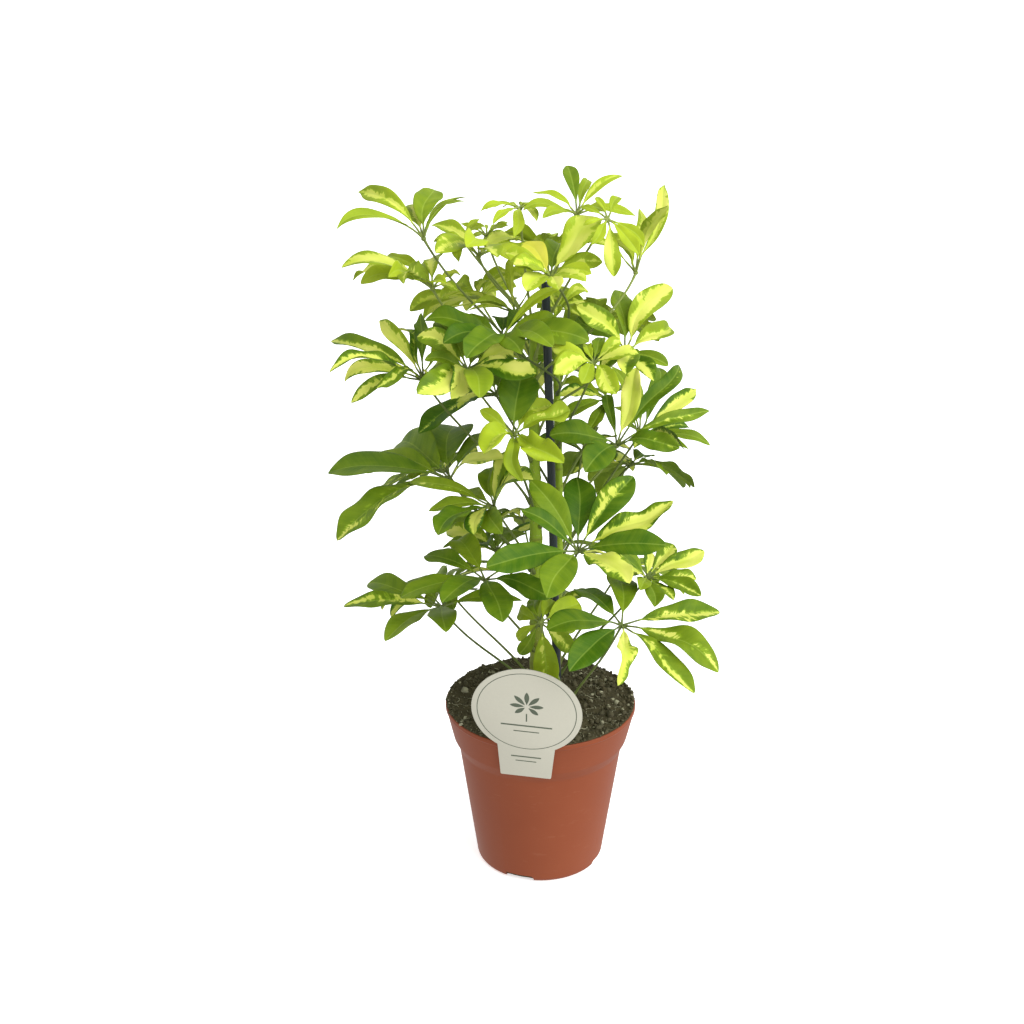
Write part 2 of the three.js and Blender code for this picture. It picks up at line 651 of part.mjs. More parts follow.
// Changes that a leaflet tries in turn, the smallest first, until it is clear
function leafletBends() {
  const list = [];
  for (const scale of [1, 0.92, 0.82, 0.7, 0.58]) {
    for (const lift of [0, 6, -6, 12, -12, 18, -18, 26, -26, 34, -34]) {
      for (const turn of [0, 6, -6, 12, -12]) {
        list.push({ scale, lift, turn, cost: Math.abs(lift) + 1.3 * Math.abs(turn) + 90 * (1 - scale) });
      }
    }
  }
  return list.sort((a, b) => a.cost - b.cost);
}

const bends = leafletBends();

function turnBetween(a, b) {
  const difference = Math.abs(a - b) % 360;
  return Math.min(difference, 360 - difference);
}

function bendClear(leaf, shape, others, siblings) {
  let best = { space: -Infinity };
  for (const bend of bends) {
    const tried = { ...shape, turn: shape.turn + bend.turn, lift: shape.lift + bend.lift };
    tried.length = shape.length * bend.scale;
    const crowded = siblings.some((one) => turnBetween(one.shape.turn, tried.turn) < leaflet.siblingTurn);
    const steep = tried.lift + tried.arch / 2 > leaflet.steepestRoot;
    if (crowded || steep || tried.lift < leaflet.lowestLift) {
      continue;
    }
    const blade = stripObstacle(leaf, tried, 0, 1);
    const stalk = stripObstacle(leaf, tried, -0.2, 0);
    const siblingBlades = siblings.map((one) => one.blade);
    const siblingSpace = freeSpace(blade, siblingBlades, leaflet.siblingClearance);
    const space = Math.min(
      freeSpace(blade, others, leaflet.clearance),
      freeSpace(stalk, others, leaflet.clearance),
      siblingSpace + leaflet.clearance - leaflet.siblingClearance,
    );
    if (space > best.space) {
      best = { space, shape: tried, blade, stalk };
    }
    if (space >= leaflet.clearance) {
      break;
    }
  }
  return best;
}

function bowClear(leaf, others) {
  let best = { space: -Infinity };
  for (const bow of [0, 6, -6, 12, -12, 18, -18, 25, -25, 33, -33, 42, -42]) {
    const curve = petioleCurve(leaf, bow);
    const rodSpots = rodObstacle(curve, petioleSpace, 0.1, 1);
    const space = freeSpace(rodSpots, others, leaflet.clearance);
    if (space > best.space) {
      best = { space, curve, rodSpots };
    }
    if (space >= leaflet.clearance) {
      break;
    }
  }
  return best;
}

function planLeaves() {
  const stemSpots = {};
  for (const [name, stem] of Object.entries(stems)) {
    stemSpots[name] = rodObstacle(stemCurve(name), () => stem.radii[1], 0, 1);
  }
  const stakeLine = new THREE.LineCurve3(vector(stake.foot), vector(stake.top));
  const fixed = [rodObstacle(stakeLine, () => stake.radius, 0, 1), plateObstacle(placeLabel(labelPlate(0)))];
  const leaves = leafPlan.map(([name, stem, baseZ, hubPlace, face, [tone, breadth, arch], leaflets]) => {
    const shapes = leaflets.map(([turn, lift, length, own = breadth]) => {
      return { turn, lift, length, breadth: own, arch };
    });
    const centre = vector(hubPlace);
    const hubSpot = obstacle([{ point: centre, radius: hub.ringRadius }], []);
    return { name, stem, baseZ, tone, shapes, centre, hubSpot, frame: leafFrame(face) };
  });
  for (const leaf of leaves) {
    const otherStems = Object.keys(stems).filter((name) => name !== leaf.stem);
    const otherHubs = leaves.filter((one) => one !== leaf).map((one) => one.hubSpot);
    const otherPetioles = leaves.filter((one) => one.petiole).map((one) => one.petiole.rodSpots);
    const stemsAround = otherStems.map((name) => stemSpots[name]);
    leaf.petiole = bowClear(leaf, [...fixed, ...stemsAround, ...otherHubs, ...otherPetioles]);
  }
  const placed = [];
  for (const leaf of leaves) {
    const petioles = leaves.filter((one) => one !== leaf).map((one) => one.petiole.rodSpots);
    const own = rodObstacle(leaf.petiole.curve, petioleRadius, 0, 0.85);
    const around = [...fixed, ...Object.values(stemSpots), ...petioles, own, ...placed];
    leaf.leaflets = [];
    for (const shape of leaf.shapes) {
      const bent = bendClear(leaf, shape, around, leaf.leaflets);
      if (bent.space >= leaflet.leastSpace) {
        leaf.leaflets.push(bent);
      }
    }
    placed.push(...leaf.leaflets.flatMap((one) => [one.blade, one.stalk]));
  }
  return leaves;
}

function buildLeaf(leaf) {
  const shapes = leaf.leaflets.map((one) => one.shape).sort((a, b) => a.turn - b.turn);
  const head = toSolid(whorlGeometry(leaf.centre, leaf.frame, shapes));
  const stalk = toSolid(rod(leaf.petiole.curve, petioleRadius, petiole.sides, petiole.steps));
  const stemSpace = toSolid(stemRod(leaf.stem, touchGap));
  return toGeometry(head.add(stalk).subtract(stemSpace));
}

// Materials and assembly

function finish(color, roughness) {
  return new THREE.MeshStandardMaterial({ color, roughness, metalness: 0 });
}

const finishes = {
  pot: finish("#b0603f", 0.5),
  soil: finish("#2d251c", 0.95),
  stem: finish("#7f9630", 0.6),
  stake: finish("#20282b", 0.5),
  label: finish("#e9e6da", 0.45),
};
const darkLeaf = new THREE.Color("#3f6a17");
const lightLeaf = new THREE.Color("#cfe23a");

const plant = new THREE.Group();

function addPiece(name, geometry, material) {
  const piece = new THREE.Mesh(geometry, material);
  piece.name = name;
  plant.add(piece);
}

addPiece("pot", buildPot(), finishes.pot);
addPiece("soil", buildSoil([
  ...Object.keys(stems).map((name) => stemRod(name, touchGap)),
  stakeRod(touchGap),
  placeLabel(labelTongue(touchGap)),
]), finishes.soil);
for (const name of Object.keys(stems)) {
  addPiece("stem_" + name, stemRod(name, 0), finishes.stem);
}
addPiece("stake", stakeRod(0), finishes.stake);
addPiece("label", buildLabel(), finishes.label);
for (const leaf of planLeaves()) {
  const color = darkLeaf.clone().lerp(lightLeaf, leaf.tone);
  addPiece("leaf_" + leaf.name, buildLeaf(leaf), finish(color, 0.5));
}

export default plant;
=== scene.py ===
# Looks of the potted umbrella plant. Each finer piece takes its place and form from the node of
# the fixed frame that it stands for. Metres, +Z up, and the camera looks along +Y.
import random
from math import acos, atan2, cos, degrees, hypot, pi, radians, sin, sqrt, tan

import bmesh
import bpy
import numpy as np
from numpy.linalg import norm
from mathutils import Matrix, Vector, noise
from mathutils.bvhtree import BVHTree


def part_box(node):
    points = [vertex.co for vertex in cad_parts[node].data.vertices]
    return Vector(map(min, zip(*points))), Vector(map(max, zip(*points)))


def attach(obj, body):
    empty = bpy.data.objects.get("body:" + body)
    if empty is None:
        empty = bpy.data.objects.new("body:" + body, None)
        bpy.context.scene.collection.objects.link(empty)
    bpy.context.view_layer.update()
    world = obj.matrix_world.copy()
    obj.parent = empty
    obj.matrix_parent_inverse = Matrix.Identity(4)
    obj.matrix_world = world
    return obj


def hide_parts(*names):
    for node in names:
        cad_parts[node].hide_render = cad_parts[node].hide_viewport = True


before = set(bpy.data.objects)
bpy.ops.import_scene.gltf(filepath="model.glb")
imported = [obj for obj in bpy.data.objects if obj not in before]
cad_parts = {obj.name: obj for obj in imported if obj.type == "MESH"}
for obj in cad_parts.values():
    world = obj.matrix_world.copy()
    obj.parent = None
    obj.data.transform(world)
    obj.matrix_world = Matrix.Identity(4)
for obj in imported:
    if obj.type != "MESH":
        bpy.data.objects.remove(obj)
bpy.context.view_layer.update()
MM = 0.001
ACROSS, AHEAD, UP = np.eye(3)

# The photograph's camera
EYE = (-0.0255, -1.5, 0.956)
LENS = 66.3
VIEW_PITCH = radians(22.4)
TO_VIEWER = np.array([0.0, -cos(VIEW_PITCH), sin(VIEW_PITCH)])

# Sizes of the frame's solids, by which their rings are told apart
STALK_SPAN = 2.2 * MM
HUB_RING = 2.6 * MM
HUB_RISE = 1.6 * MM
HUB_END = 4.5 * MM
PETIOLE_RING = 4.2 * MM
ROD_STEP = 2.5 * MM

# Where the rings of a solid's blade stand along it, by how many rings a leaflet has
STATIONS = {4: (0.23, 0.52, 0.83), 3: (0.38, 0.76)}

# Leaflets that are added between those of a solid
ROOM_FOR_ONE = radians(31)
CLEARANCE = 3.5 * MM
FOLIAGE_FLOOR = 0.19
WHOLE_LEAVES = ("front_right", "low_right", "low_left", "low_left_front", "left_middle", "upper_left", "top",
                "upper_right", "young_right", "right_middle", "middle")

# The mesh of a leaflet: rings along it, and in each ring points on the upper face from edge to
# edge and back along the lower face, at shares of the half width
SPREADS = (1, 0.965, 0.85, 0.64, 0.4, 0.17, 0.055, 0, -0.055, -0.17, -0.4, -0.64, -0.85, -0.965, -1)
COLUMNS = np.array([*SPREADS, *SPREADS[-2:0:-1]])
UPPER = np.arange(len(COLUMNS)) < len(SPREADS)
TURNS = pi * np.arange(len(COLUMNS)) / (len(SPREADS) - 1)
STALK_ROWS = 6
ROW_STEP = 2.7 * MM
STALK_RADIUS = 0.8 * MM
BLADE_THICKNESS = 0.4 * MM
PLACE_UNIT = 10 * MM

# Looks of the leaves. For a leaf: how light its green is, the share of its leaflets that have
# gold, how far they curl, and, unless it is 1, their breadth beside those of the solid. Then for
# single leaflets, by the hour that the tip stands nearest to round the hub, seen from the front:
# how light the green is, how far the gold spreads, from GREEN for none to 0.9 for nearly all, and,
# where they aren't the leaf's, curl, breadth and how far the blade turns to the front. A DARK
# one is dark green alone. How light the green is mixes the leaf's own colour with painted light
# and shade: low and middle leaves are set darker as painted shade from the foliage above them,
# and crown leaves that lie in shade are set lighter as painted light.
GREEN = -0.3
DARK = (0.1, GREEN)
BACK_LOOK = (0.28, 0.45, 0.4)
LOOKS = {
    "upper_left": ((0.6, 0.5, 0.7), {
        9.3: (0.5, 0.1), 10: (0.5, 0.5), 11.4: (0.5, 0.6, 0.3, 1.3, 1), 12.3: (0.3, GREEN, 0.3, 1.3, 1),
        1.5: (0.4, 0, 0.7, 0.8)}),
    "left_second": ((0.7, 0.6, 0.9), {9: (0.8, 0.6), 10: (0.55, 0.2), 12: (0.6, 0.4)}),
    "crown_left": ((0.8, 0.8, 0.5), {}), "crown_curled": ((0.75, 0.8, 1), {}),
    "young_left": ((0.6, 0, 0.3), {}), "young_middle": ((0.65, 0, 0.3), {}),
    "young_top": ((0.7, 0.2, 0.4), {}), "young_right": ((0.7, 0.2, 0.4), {}),
    "top": ((0.65, 0.3, 0.4), {
        12: (0.2, GREEN, 0.2, 0.85, 0.5), 1: (0.5, GREEN, 0.7, 0.7), 2: (0.7, 0.4, 0.6, 0.8)}),
    "upper_right": ((0.75, 0.7, 0.9), {1: (0.55, 0.6), 12: (0.6, 0.6), 11: (0.75, 0.3)}),
    "crown_front": ((0.8, 0.8, 0.5), {
        11: (0.9, 1, 0.3, 1, 0.6), 12: (0.2, GREEN, 0.2, 1.2, 0.8), 1: (0.7, 0.7), 2: (0.5, 0.4)}),
    "crown_centre": ((0.9, 1, 0.7, 0.65), {12: (0.9, 0.75), 9: (0.6, 0.3)}),
    "arch_centre": ((0.14, 0.2, 0.4), {
        1: (0.75, 0.1, 0.7, 0.45), 3: (0.25, 0.2), 8: (0.12, GREEN), 10: DARK}),
    "right_high": ((0.3, 0.5, 0.7, 0.95), {
        9: DARK, 10: DARK, 12: (0.25, -0.1), 1: (0.45, 0.6, 1.2, 1), 2: (0.4, 0.5, 1.4, 1.1)}),
    "right_bright": ((0.7, 0.7, 0.6, 0.95), {
        10: (0.9, 0.9), 9: (0.6, 0.6), 12: (0.25, GREEN), 2: (0.6, 0.45)}),
    "left_far": ((0.35, 0.6, 1.3, 0.7), {
        8: (0.15, 0.45), 9: (0.15, 0.4), 10: (0.2, 0.5), 11: (0.4, 0.65), 12: DARK}),
    "left_inner": ((0.3, 0.5, 0.7, 0.95), {8: (0.2, 0.6), 10: (0.2, 0.5), 1: (0.35, GREEN)}),
    "left_middle": ((0.2, 0.2, 0.2), {
        9: (0.15, GREEN, 0, 1.15), 10: (0.2, GREEN, 0.1, 1.3, 0.6), 8: (0.2, 0.36),
        12: (0.14, GREEN, 0.1, 1.4, 0.6), 2: (0.3, 0.85)}),
    "front_left": ((0.25, 0.4, 0.5, 0.95), {8: DARK, 9.6: (0.35, 0.25, 0.5, 0.5), 12: (0.2, GREEN)}),
    "inner_left": ((0.2, 0.3, 0.3), {10: (0.3, 0.6), 9: (0.3, 0.45)}),
    "low_left_front": ((0.18, 0, 0.1, 0.95), {}), "middle_back": ((0.15, 0.2, 0.2), {}),
    "low_left": ((0.22, 0.1, 0.2), {
        9: (0.15, 0.46, 0.2, 0.85), 10: (0.25, GREEN), 8: (0.3, -0.1), 6: (0.25, GREEN)}),
    "middle": ((0.65, 0.3, 1.2, 0.85), {
        12: (0.08, GREEN, 0, 1.3), 8: (0.7, 0.45, 1.9, 1.2), 1: (0.7, 0.4, 1.7, 1.1),
        2: (0.6, 0.3, 1.7, 1.1), 4: (0.65, 0.2, 1.7, 1.2), 6: (0.5, -0.1, 1.2, 0.7)}),
    "right_middle": ((0.2, 0.4, 0.7, 0.95), {
        12.3: (0.4, 0.9, 0.5, 1.2, 0.8), 11: DARK, 1: (0.1, 0.1, 0.7, 0.8), 2: (0.2, 0.3, 0.7, 0.8),
        3: (0.15, 0.3), 8: (0.08, GREEN, 0.1, 1.1), 9: DARK}),
    "right_far": ((0.25, 0.4, 0.4), {}), "right_inner": ((0.25, 0.3, 0.3), {}),
    "front_right": ((0.16, 0.2, 0.3, 0.84), {
        12: (0.02, GREEN, 0, 1), 1: (0.07, 0.42), 2: (0.1, 0.66, 0.6), 3: (0.07, GREEN), 4: (0.15, 0.7, 0.6),
        7: (0.18, GREEN), 9: (0.05, GREEN, 0.2, 0.75), 10: (0.05, GREEN, 0.3, 0.75)}),
    "low_right": ((0.22, 0.3, 0.3, 0.95), {
        12: (0.25, GREEN), 3: (0.15, 0.46, 0.2, 0.85), 4: (0.25, 0.27, 0.5, 0.95), 5: (0.25, 0.44, 0.6, 0.8),
        6: (0.3, 0.8, 1.6, 0.85), 8: (0, GREEN, 0.4, 0.9), 9: DARK, 10: DARK}),
    "low_right_back": (BACK_LOOK, {2: (0.15, 0.7), 1: (0.15, 0.5), 3: (0.2, 0.3), 10: (0.4, 0.7)}),
    "low_front": ((0.5, 0.2, 0.5, 0.95), {6: (0.45, 0.3), 7: (0.2, GREEN), 11: (0.25, GREEN)}),
    "back_top": ((0.8, 0.5, 0.5), {}), "back_high_left": ((0.9, 0.6, 0.7, 0.85), {}),
    "back_high_right": ((0.65, 0.5, 0.5), {}),
}

# How far the blades of these leaves turn to the front unless stated, and the leaves that don't
FRONT_TURN = 0.35
FLAT_LEAVES = ("front_right", "low_right", "low_right_back", "low_left", "low_left_front",
               "left_middle", "front_left")

# Stems, in rings of points, with raised rings where leaves once grew
STEM_STEP = 2.2 * MM
STEM_SIDES = 24

# The pot, in mm: corners of its section as radius, height and, where rounded, the rounding, from
# the middle of the underside up outside, and down inside
POT_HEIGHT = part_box("pot")[1][2] / MM
BASE_RADIUS = 56.5
LIP_RADIUS = 85.0
POT_OUTSIDE = ((0, 0), (BASE_RADIUS, 0, 6), (73.1, 114, 12), (78.0, 124, 12), (84.2, 150, 1),
               (LIP_RADIUS, 151.2, 0.6), (LIP_RADIUS, POT_HEIGHT, 0.75))
POT_INSIDE = ((83.2, POT_HEIGHT, 0.75), (82.6, 150, 1), (75.6, 123, 2.5), (71.8, 118, 3), (54.9, 2.2, 6),
              (0, 2.2))
NOTCHES = 4
FIRST_NOTCH = -110
NOTCH_SIZE = (15, 27, 13)
NOTCH_ROUNDING = 2.5

# The soil, in mm: radius and height
SOIL_TOP = ((0, 156.5), (45, 155.5), (78, 154.9), (85, 155.7))
SOIL_BELOW = ((54, 3.0), (55.5, 10), (71.2, 118), (75.0, 123.5), (80.0, 144), (82.0, 153.4))
SOIL_REACH = 84.1
CRUMBS = 2100
FIBRES = 220

# The label, in mm: disc and tab in front of the rim, tongue behind it, and what is printed on it
DISC_RADIUS = 47.3
THICKNESS = 0.8
TAB_TOP = 49.7
TAB_BOTTOM = 44.2
TAB_LENGTH = 28.0
TAB_ROUNDING = 1.5
LABEL_TURN = radians(-9)
LABEL_LEAN = radians(14)
LABEL_ROLL = radians(2.5)
CENTRE_UP = 44.5
RIM_CONTACT_Z = 152.0
TOUCH_GAP = 0.3
BRIDGE = 8.5
BRIDGE_BEND = 1.6
TONGUE_WIDTH = 18.0
TONGUE_DEPTH = 50.0
PRINT_HEIGHT = 0.06
PRINT_EDGE = 0.01
PRINTED_RING = (42.0, 42.7)
PRINTED_BARS = ((-6.5, 1.1, 9), (-16, 44, 1.6), (-22.5, 22, 1.1), (-52, 26, 1.4), (-57, 18, 1))


def linear(code):
    """A colour given as on a screen, such as #b0603f, in the values that shaders take"""
    shares = [int(code[place:place + 2], 16) / 255 for place in (1, 3, 5)]
    values = [s / 12.92 if s <= 0.04045 else ((s + 0.055) / 1.055) ** 2.4 for s in shares]
    return (*values, 1.0)


def unit(vectors):
    return vectors / norm(vectors, axis=-1, keepdims=True)


def smooth(values, low, high):
    """Rises softly from 0 at low to 1 at high"""
    share = np.clip((values - low) / (high - low), 0, 1)
    return share * share * (3 - 2 * share)


def polar(radius, turn):
    return radius * cos(turn), radius * sin(turn)


def full_turn(count):
    return np.linspace(0, 2 * pi, count, endpoint=False)


def spin(turn):
    """The matrix that turns the points of a plane, given as rows"""
    c, s = cos(turn), sin(turn)
    return np.array([[c, s], [-s, c]])


def on_curve(fit, shares):
    return np.stack([np.polyval(fit[:, axis], shares) for axis in range(3)], axis=-1)


def lengths_along(path):
    return np.concatenate([[0], np.cumsum(norm(np.diff(path, axis=0), axis=1))])


# Reading the frame's solids

def welded(node):
    """The corners of a node's solid, and for each corner those that share an edge with it"""
    mesh = bmesh.new()
    mesh.from_mesh(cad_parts[node].data)
    bmesh.ops.remove_doubles(mesh, verts=mesh.verts, dist=2e-6)
    mesh.verts.index_update()
    corners = np.array([corner.co for corner in mesh.verts])
    beside = [{edge.other_vert(corner).index for edge in corner.link_edges} for corner in mesh.verts]
    mesh.free()
    return corners, beside


def around(ring, beside):
    return set().union(*(beside[corner] for corner in ring))


def leaflet_rings(tip, corners, beside):
    """The rings of four corners from a leaflet's tip to its stalk, and the ring at its root"""
    rings, seen, ring = [], {tip}, beside[tip]
    while len(ring) == 4:
        rings.append(ring)
        seen = seen | ring
        spots = corners[list(ring)]
        if max(norm(a - b) for a in spots for b in spots) < STALK_SPAN:
            return rings, around(ring, beside) - seen
        ring = around(ring, beside) - seen
    return [], set()


def opposite_pairs(ring, corners, beside):
    """The two corners on the midrib and the two on the edges of a leaflet's ring"""
    first = min(ring)
    second = next(iter(ring - beside[first] - {first}))
    pairs = [[first, second], sorted(ring - {first, second})]
    return sorted(pairs, key=lambda pair: norm(corners[pair[0]] - corners[pair[1]]))


def clock_hour(way):
    """The hour at which a direction stands on a clock's face, as the camera sees it"""
    rise = way[2] * cos(VIEW_PITCH) + way[1] * sin(VIEW_PITCH)
    return degrees(atan2(way[0], rise)) / 30 % 12


def read_leaflet(tip, rings, corners, beside, centre):
    """A leaflet's midrib as a cubic from hub to tip, the way across it, and its full half width"""
    middles, halves, normals = [], [], []
    for ring in rings:
        ridge, edges = opposite_pairs(ring, corners, beside)
        middle = corners[ridge].mean(axis=0)
        middles.append(middle)
        halves.append(norm(corners[edges[0]] - corners[edges[1]]) / 2)
        normals.append(corners[edges].mean(axis=0) - middle)
    spots = np.array([centre, *middles[::-1], corners[tip]])
    steps = lengths_along(spots)
    shares = steps / steps[-1]
    shares_of_half = (sin(pi * blade ** 1.3) ** 0.65 for blade in STATIONS[len(rings)])
    return {
        "curve": np.polyfit(shares, spots, 3),
        "hour": clock_hour(corners[tip] - centre),
        "across": -unit(np.cross(corners[tip] - middles[-1], sum(normals[:-1]))),
        "stalk": shares[1],
        "length": steps[-1],
        "half": max(half / share for half, share in zip(halves[::-1][1:], shares_of_half)),
    }


def read_leaf(node):
    """Hub, leaflets and petiole of a compound leaf's solid"""
    corners, beside = welded(node)
    found, taken, roots = [], set(), set()
    for tip in range(len(corners)):
        rings, root = leaflet_rings(tip, corners, beside) if len(beside[tip]) == 4 else ([], set())
        if len(rings) >= 3:
            found.append((tip, rings))
            taken |= {tip}.union(*rings)
            roots |= root
    rest = [corner for corner in range(len(corners)) if corner not in taken | roots]
    top = corners[max(rest, key=lambda corner: len(beside[corner] & roots))]
    reach = hypot(HUB_RING, HUB_RISE)
    level = np.array([corners[corner] for corner in roots
                      if abs(norm(corners[corner] - top) - reach) < 0.02 * MM])
    axis = np.linalg.svd(level - level.mean(axis=0))[2][2]
    axis *= np.sign(np.dot(axis, top - level.mean(axis=0)))
    centre = top - axis * HUB_RISE
    leaflets = [read_leaflet(tip, rings, corners, beside, centre) for tip, rings in found]
    leaflets.sort(key=lambda shape: shape["hour"])
    return {"centre": centre, "axis": axis, "leaflets": leaflets,
            "petiole": petiole_path(corners[rest], centre)}


def petiole_path(rest, centre):
    """The middles of a petiole's rings, from the hub down to where it meets its stem"""
    rest = rest[norm(rest - centre, axis=1) > HUB_END]
    path = [centre]
    while len(rest):
        nearest = rest[np.argmin(norm(rest - path[-1], axis=1))]
        in_ring = norm(rest - nearest, axis=1) < PETIOLE_RING
        path.append(rest[in_ring].mean(axis=0))
        rest = rest[~in_ring]
    return np.array(path)


def more_leaflets(leaf, node, draw):
    first = unit(np.cross(leaf["axis"], (0.3, 1.0, 0.2)))
    second = np.cross(leaf["axis"], first)

    def turn_of(shape):
        way = on_curve(shape["curve"], 0.5) - leaf["centre"]
        return atan2(way @ second, way @ first)

    ring = sorted(leaf["leaflets"], key=turn_of)
    found = []
    for here, after in zip(ring, ring[1:] + ring[:1]):
        gap = (turn_of(after) - turn_of(here)) % (2 * pi)
        count = round(gap / ROOM_FOR_ONE)
        for index in range(1, count):
            shape = between(here, after, index / count, gap, leaf, draw.uniform(0.66, 0.9))
            if clear_of_others(shape, node):
                found.append(shape)
    return found


def between(here, after, share, gap, leaf, size):
    curve, across = np.zeros((4, 3)), np.zeros(3)
    for shape, angle, weight in ((here, gap * share, 1 - share), (after, -gap * (1 - share), share)):
        turn = np.array(Matrix.Rotation(angle, 3, Vector(leaf["axis"])))
        ways = shape["curve"].copy()
        ways[3] -= leaf["centre"]
        curve += weight * size * ways @ turn.T
        across += weight * turn @ shape["across"]
    curve[3] += leaf["centre"]
    sizes = {key: scale * ((1 - share) * here[key] + share * after[key])
             for key, scale in (("stalk", 1), ("length", size), ("half", size))}
    return {"curve": curve, "hour": None, "across": unit(across), **sizes}


def clear_of_others(shape, node):
    """Whether a leaflet keeps away from every other solid and the leaflets added before it"""
    shares = np.linspace(0.35, 1, 8)
    middles = on_curve(shape["curve"], shares)
    width = shape["half"] * np.sin(pi * np.clip(shares - 0.2, 0, 0.8) / 0.8)[:, None]
    spots = np.concatenate([middles, middles + shape["across"] * width, middles - shape["across"] * width])
    if min(spots[:, 2]) < FOLIAGE_FLOOR:
        return False
    for spot in spots:
        near = surroundings.find_nearest_range(Vector(spot), CLEARANCE)
        if any(face_owners[face] != node for _, _, face, _ in near):
            return False
    if any(norm(other[:, None] - spots, axis=2).min() < CLEARANCE for other in added_spots):
        return False
    added_spots.append(spots)
    return True


def all_surfaces():
    """Every solid's faces in one search tree, and the node that each face belongs to"""
    points, faces, owners = [], [], []
    for node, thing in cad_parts.items():
        start = len(points)
        points += [corner.co.copy() for corner in thing.data.vertices]
        for face in thing.data.polygons:
            faces.append([corner + start for corner in face.vertices])
            owners.append(node)
    return BVHTree.FromPolygons(points, faces), owners


def rod_rings(node):
    """Middle and radius of each ring of a standing rod's solid, from the bottom up"""
    corners, _ = welded(node)
    corners = corners[np.argsort(corners[:, 2])]
    rings = np.split(corners, np.where(np.diff(corners[:, 2]) > ROD_STEP)[0] + 1)
    middles = np.array([ring.mean(axis=0) for ring in rings])
    radii = np.array([norm(ring - mid, axis=1).mean() for ring, mid in zip(rings, middles)])
    return middles, radii


surroundings, face_owners = all_surfaces()
added_spots = []


# Making pieces

def added(name, data):
    thing = bpy.data.objects.new(name, data)
    bpy.context.collection.objects.link(thing)
    return thing


def piece(name, body, material, replaces=(), attributes=None, crease=None):
    """One visible mesh that rides on the root body, from its points and faces"""
    mesh = bpy.data.meshes.new(name)
    mesh.from_pydata(np.asarray(body[0]).tolist(), [], body[1])
    for title, values in (attributes or {}).items():
        values = np.asarray(values, dtype=float)
        kind, key = ("FLOAT_VECTOR", "vector") if values.ndim == 2 else ("FLOAT", "value")
        mesh.attributes.new(title, kind, "POINT").data.foreach_set(key, values.ravel())
    mesh.shade_smooth()
    if crease:
        mesh.set_sharp_from_angle(angle=radians(crease))
    mesh.materials.append(material)
    thing = added(name, mesh)
    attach(thing, "root")
    if replaces:
        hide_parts(*replaces)
    return thing


def bands(rows, size, closed=False):
    """Faces between rings of points that follow each other, and back to the first if closed"""
    faces = []
    for row in range(rows if closed else rows - 1):
        for side in range(size):
            a, b = row * size + side, row * size + (side + 1) % size
            faces.append((a, b, (b + size) % (rows * size), (a + size) % (rows * size)))
    return faces


def skin(rings):
    """Points and faces of a closed body through rings of points that run counterclockwise"""
    rings = np.asarray(rings)
    count, size = rings.shape[:2]
    points = np.concatenate([rings.reshape(-1, 3), rings[[0, -1]].mean(axis=1)])
    faces = bands(count, size)
    last = (count - 1) * size
    for side in range(size):
        after = (side + 1) % size
        faces.append((after, side, count * size))
        faces.append((last + side, last + after, count * size + 1))
    return points, faces


def joined(bodies):
    points, faces, start = [], [], 0
    for body_points, body_faces in bodies:
        points.append(body_points)
        faces += [tuple(corner + start for corner in face) for face in body_faces]
        start += len(body_points)
    return np.concatenate(points), faces


def sides_along(path, across):
    """Two directions square to a path at each of its points, the first as near as can be to across"""
    along = unit(np.gradient(path, axis=0))
    side = unit(across - along * (along @ across)[:, None])
    return side, np.cross(along, side)


def either(first, second, way):
    """The first direction, or the second where the first lies along the way"""
    return first if abs(way @ first) < 0.9 else second


def tube(path, radii, sides, across=ACROSS):
    side, lift = sides_along(path, across)
    turns = full_turn(sides)
    circle = np.cos(turns)[None, :, None] * side[:, None] + np.sin(turns)[None, :, None] * lift[:, None]
    radii = np.asarray(radii)
    radii = radii[:, None] if radii.ndim == 1 else radii
    return path[:, None] + circle * np.broadcast_to(radii, (len(path), sides))[..., None]


def lathe(profile, sides):
    """A body turned about the upright axis, from a profile that starts and ends on it"""
    circle = np.array([(*polar(1, turn), 0) for turn in full_turn(sides)])
    points, faces = skin([circle * radius + UP * height for radius, height in profile[1:-1]])
    points[-2], points[-1] = UP * profile[0][1], UP * profile[-1][1]
    return points, faces


def rounded(corners, steps=5):
    """A profile of (radius, height, fillet) corners with an arc in each place that has a fillet"""
    spots = [np.array(corner[:2], dtype=float) for corner in corners]
    profile = [spots[0]]
    for before, here, after, corner in zip(spots, spots[1:], spots[2:], corners[1:]):
        if len(corner) < 3:
            profile.append(here)
            continue
        back, on = unit(before - here), unit(after - here)
        half = acos(np.clip(back @ on, -1, 1)) / 2
        cut = corner[2] / tan(half)
        centre = here + unit(back + on) * corner[2] / sin(half)
        start, end = here + back * cut - centre, here + on * cut - centre
        sweep = atan2(start[0] * end[1] - start[1] * end[0], start @ end)
        profile += [centre + start @ spin(sweep * step / steps) for step in range(steps + 1)]
    return [*profile, spots[-1]]


# Materials

class Value:
    """A number or colour that a material's nodes give at each point of a surface"""

    def __init__(self, shader, socket):
        self.shader = shader
        self.socket = socket

    def __add__(self, other):
        return self.shader.math("ADD", self, other)

    def __sub__(self, other):
        return self.shader.math("SUBTRACT", self, other)

    def __mul__(self, other):
        return self.shader.math("MULTIPLY", self, other)

    def __abs__(self):
        return self.shader.math("ABSOLUTE", self)


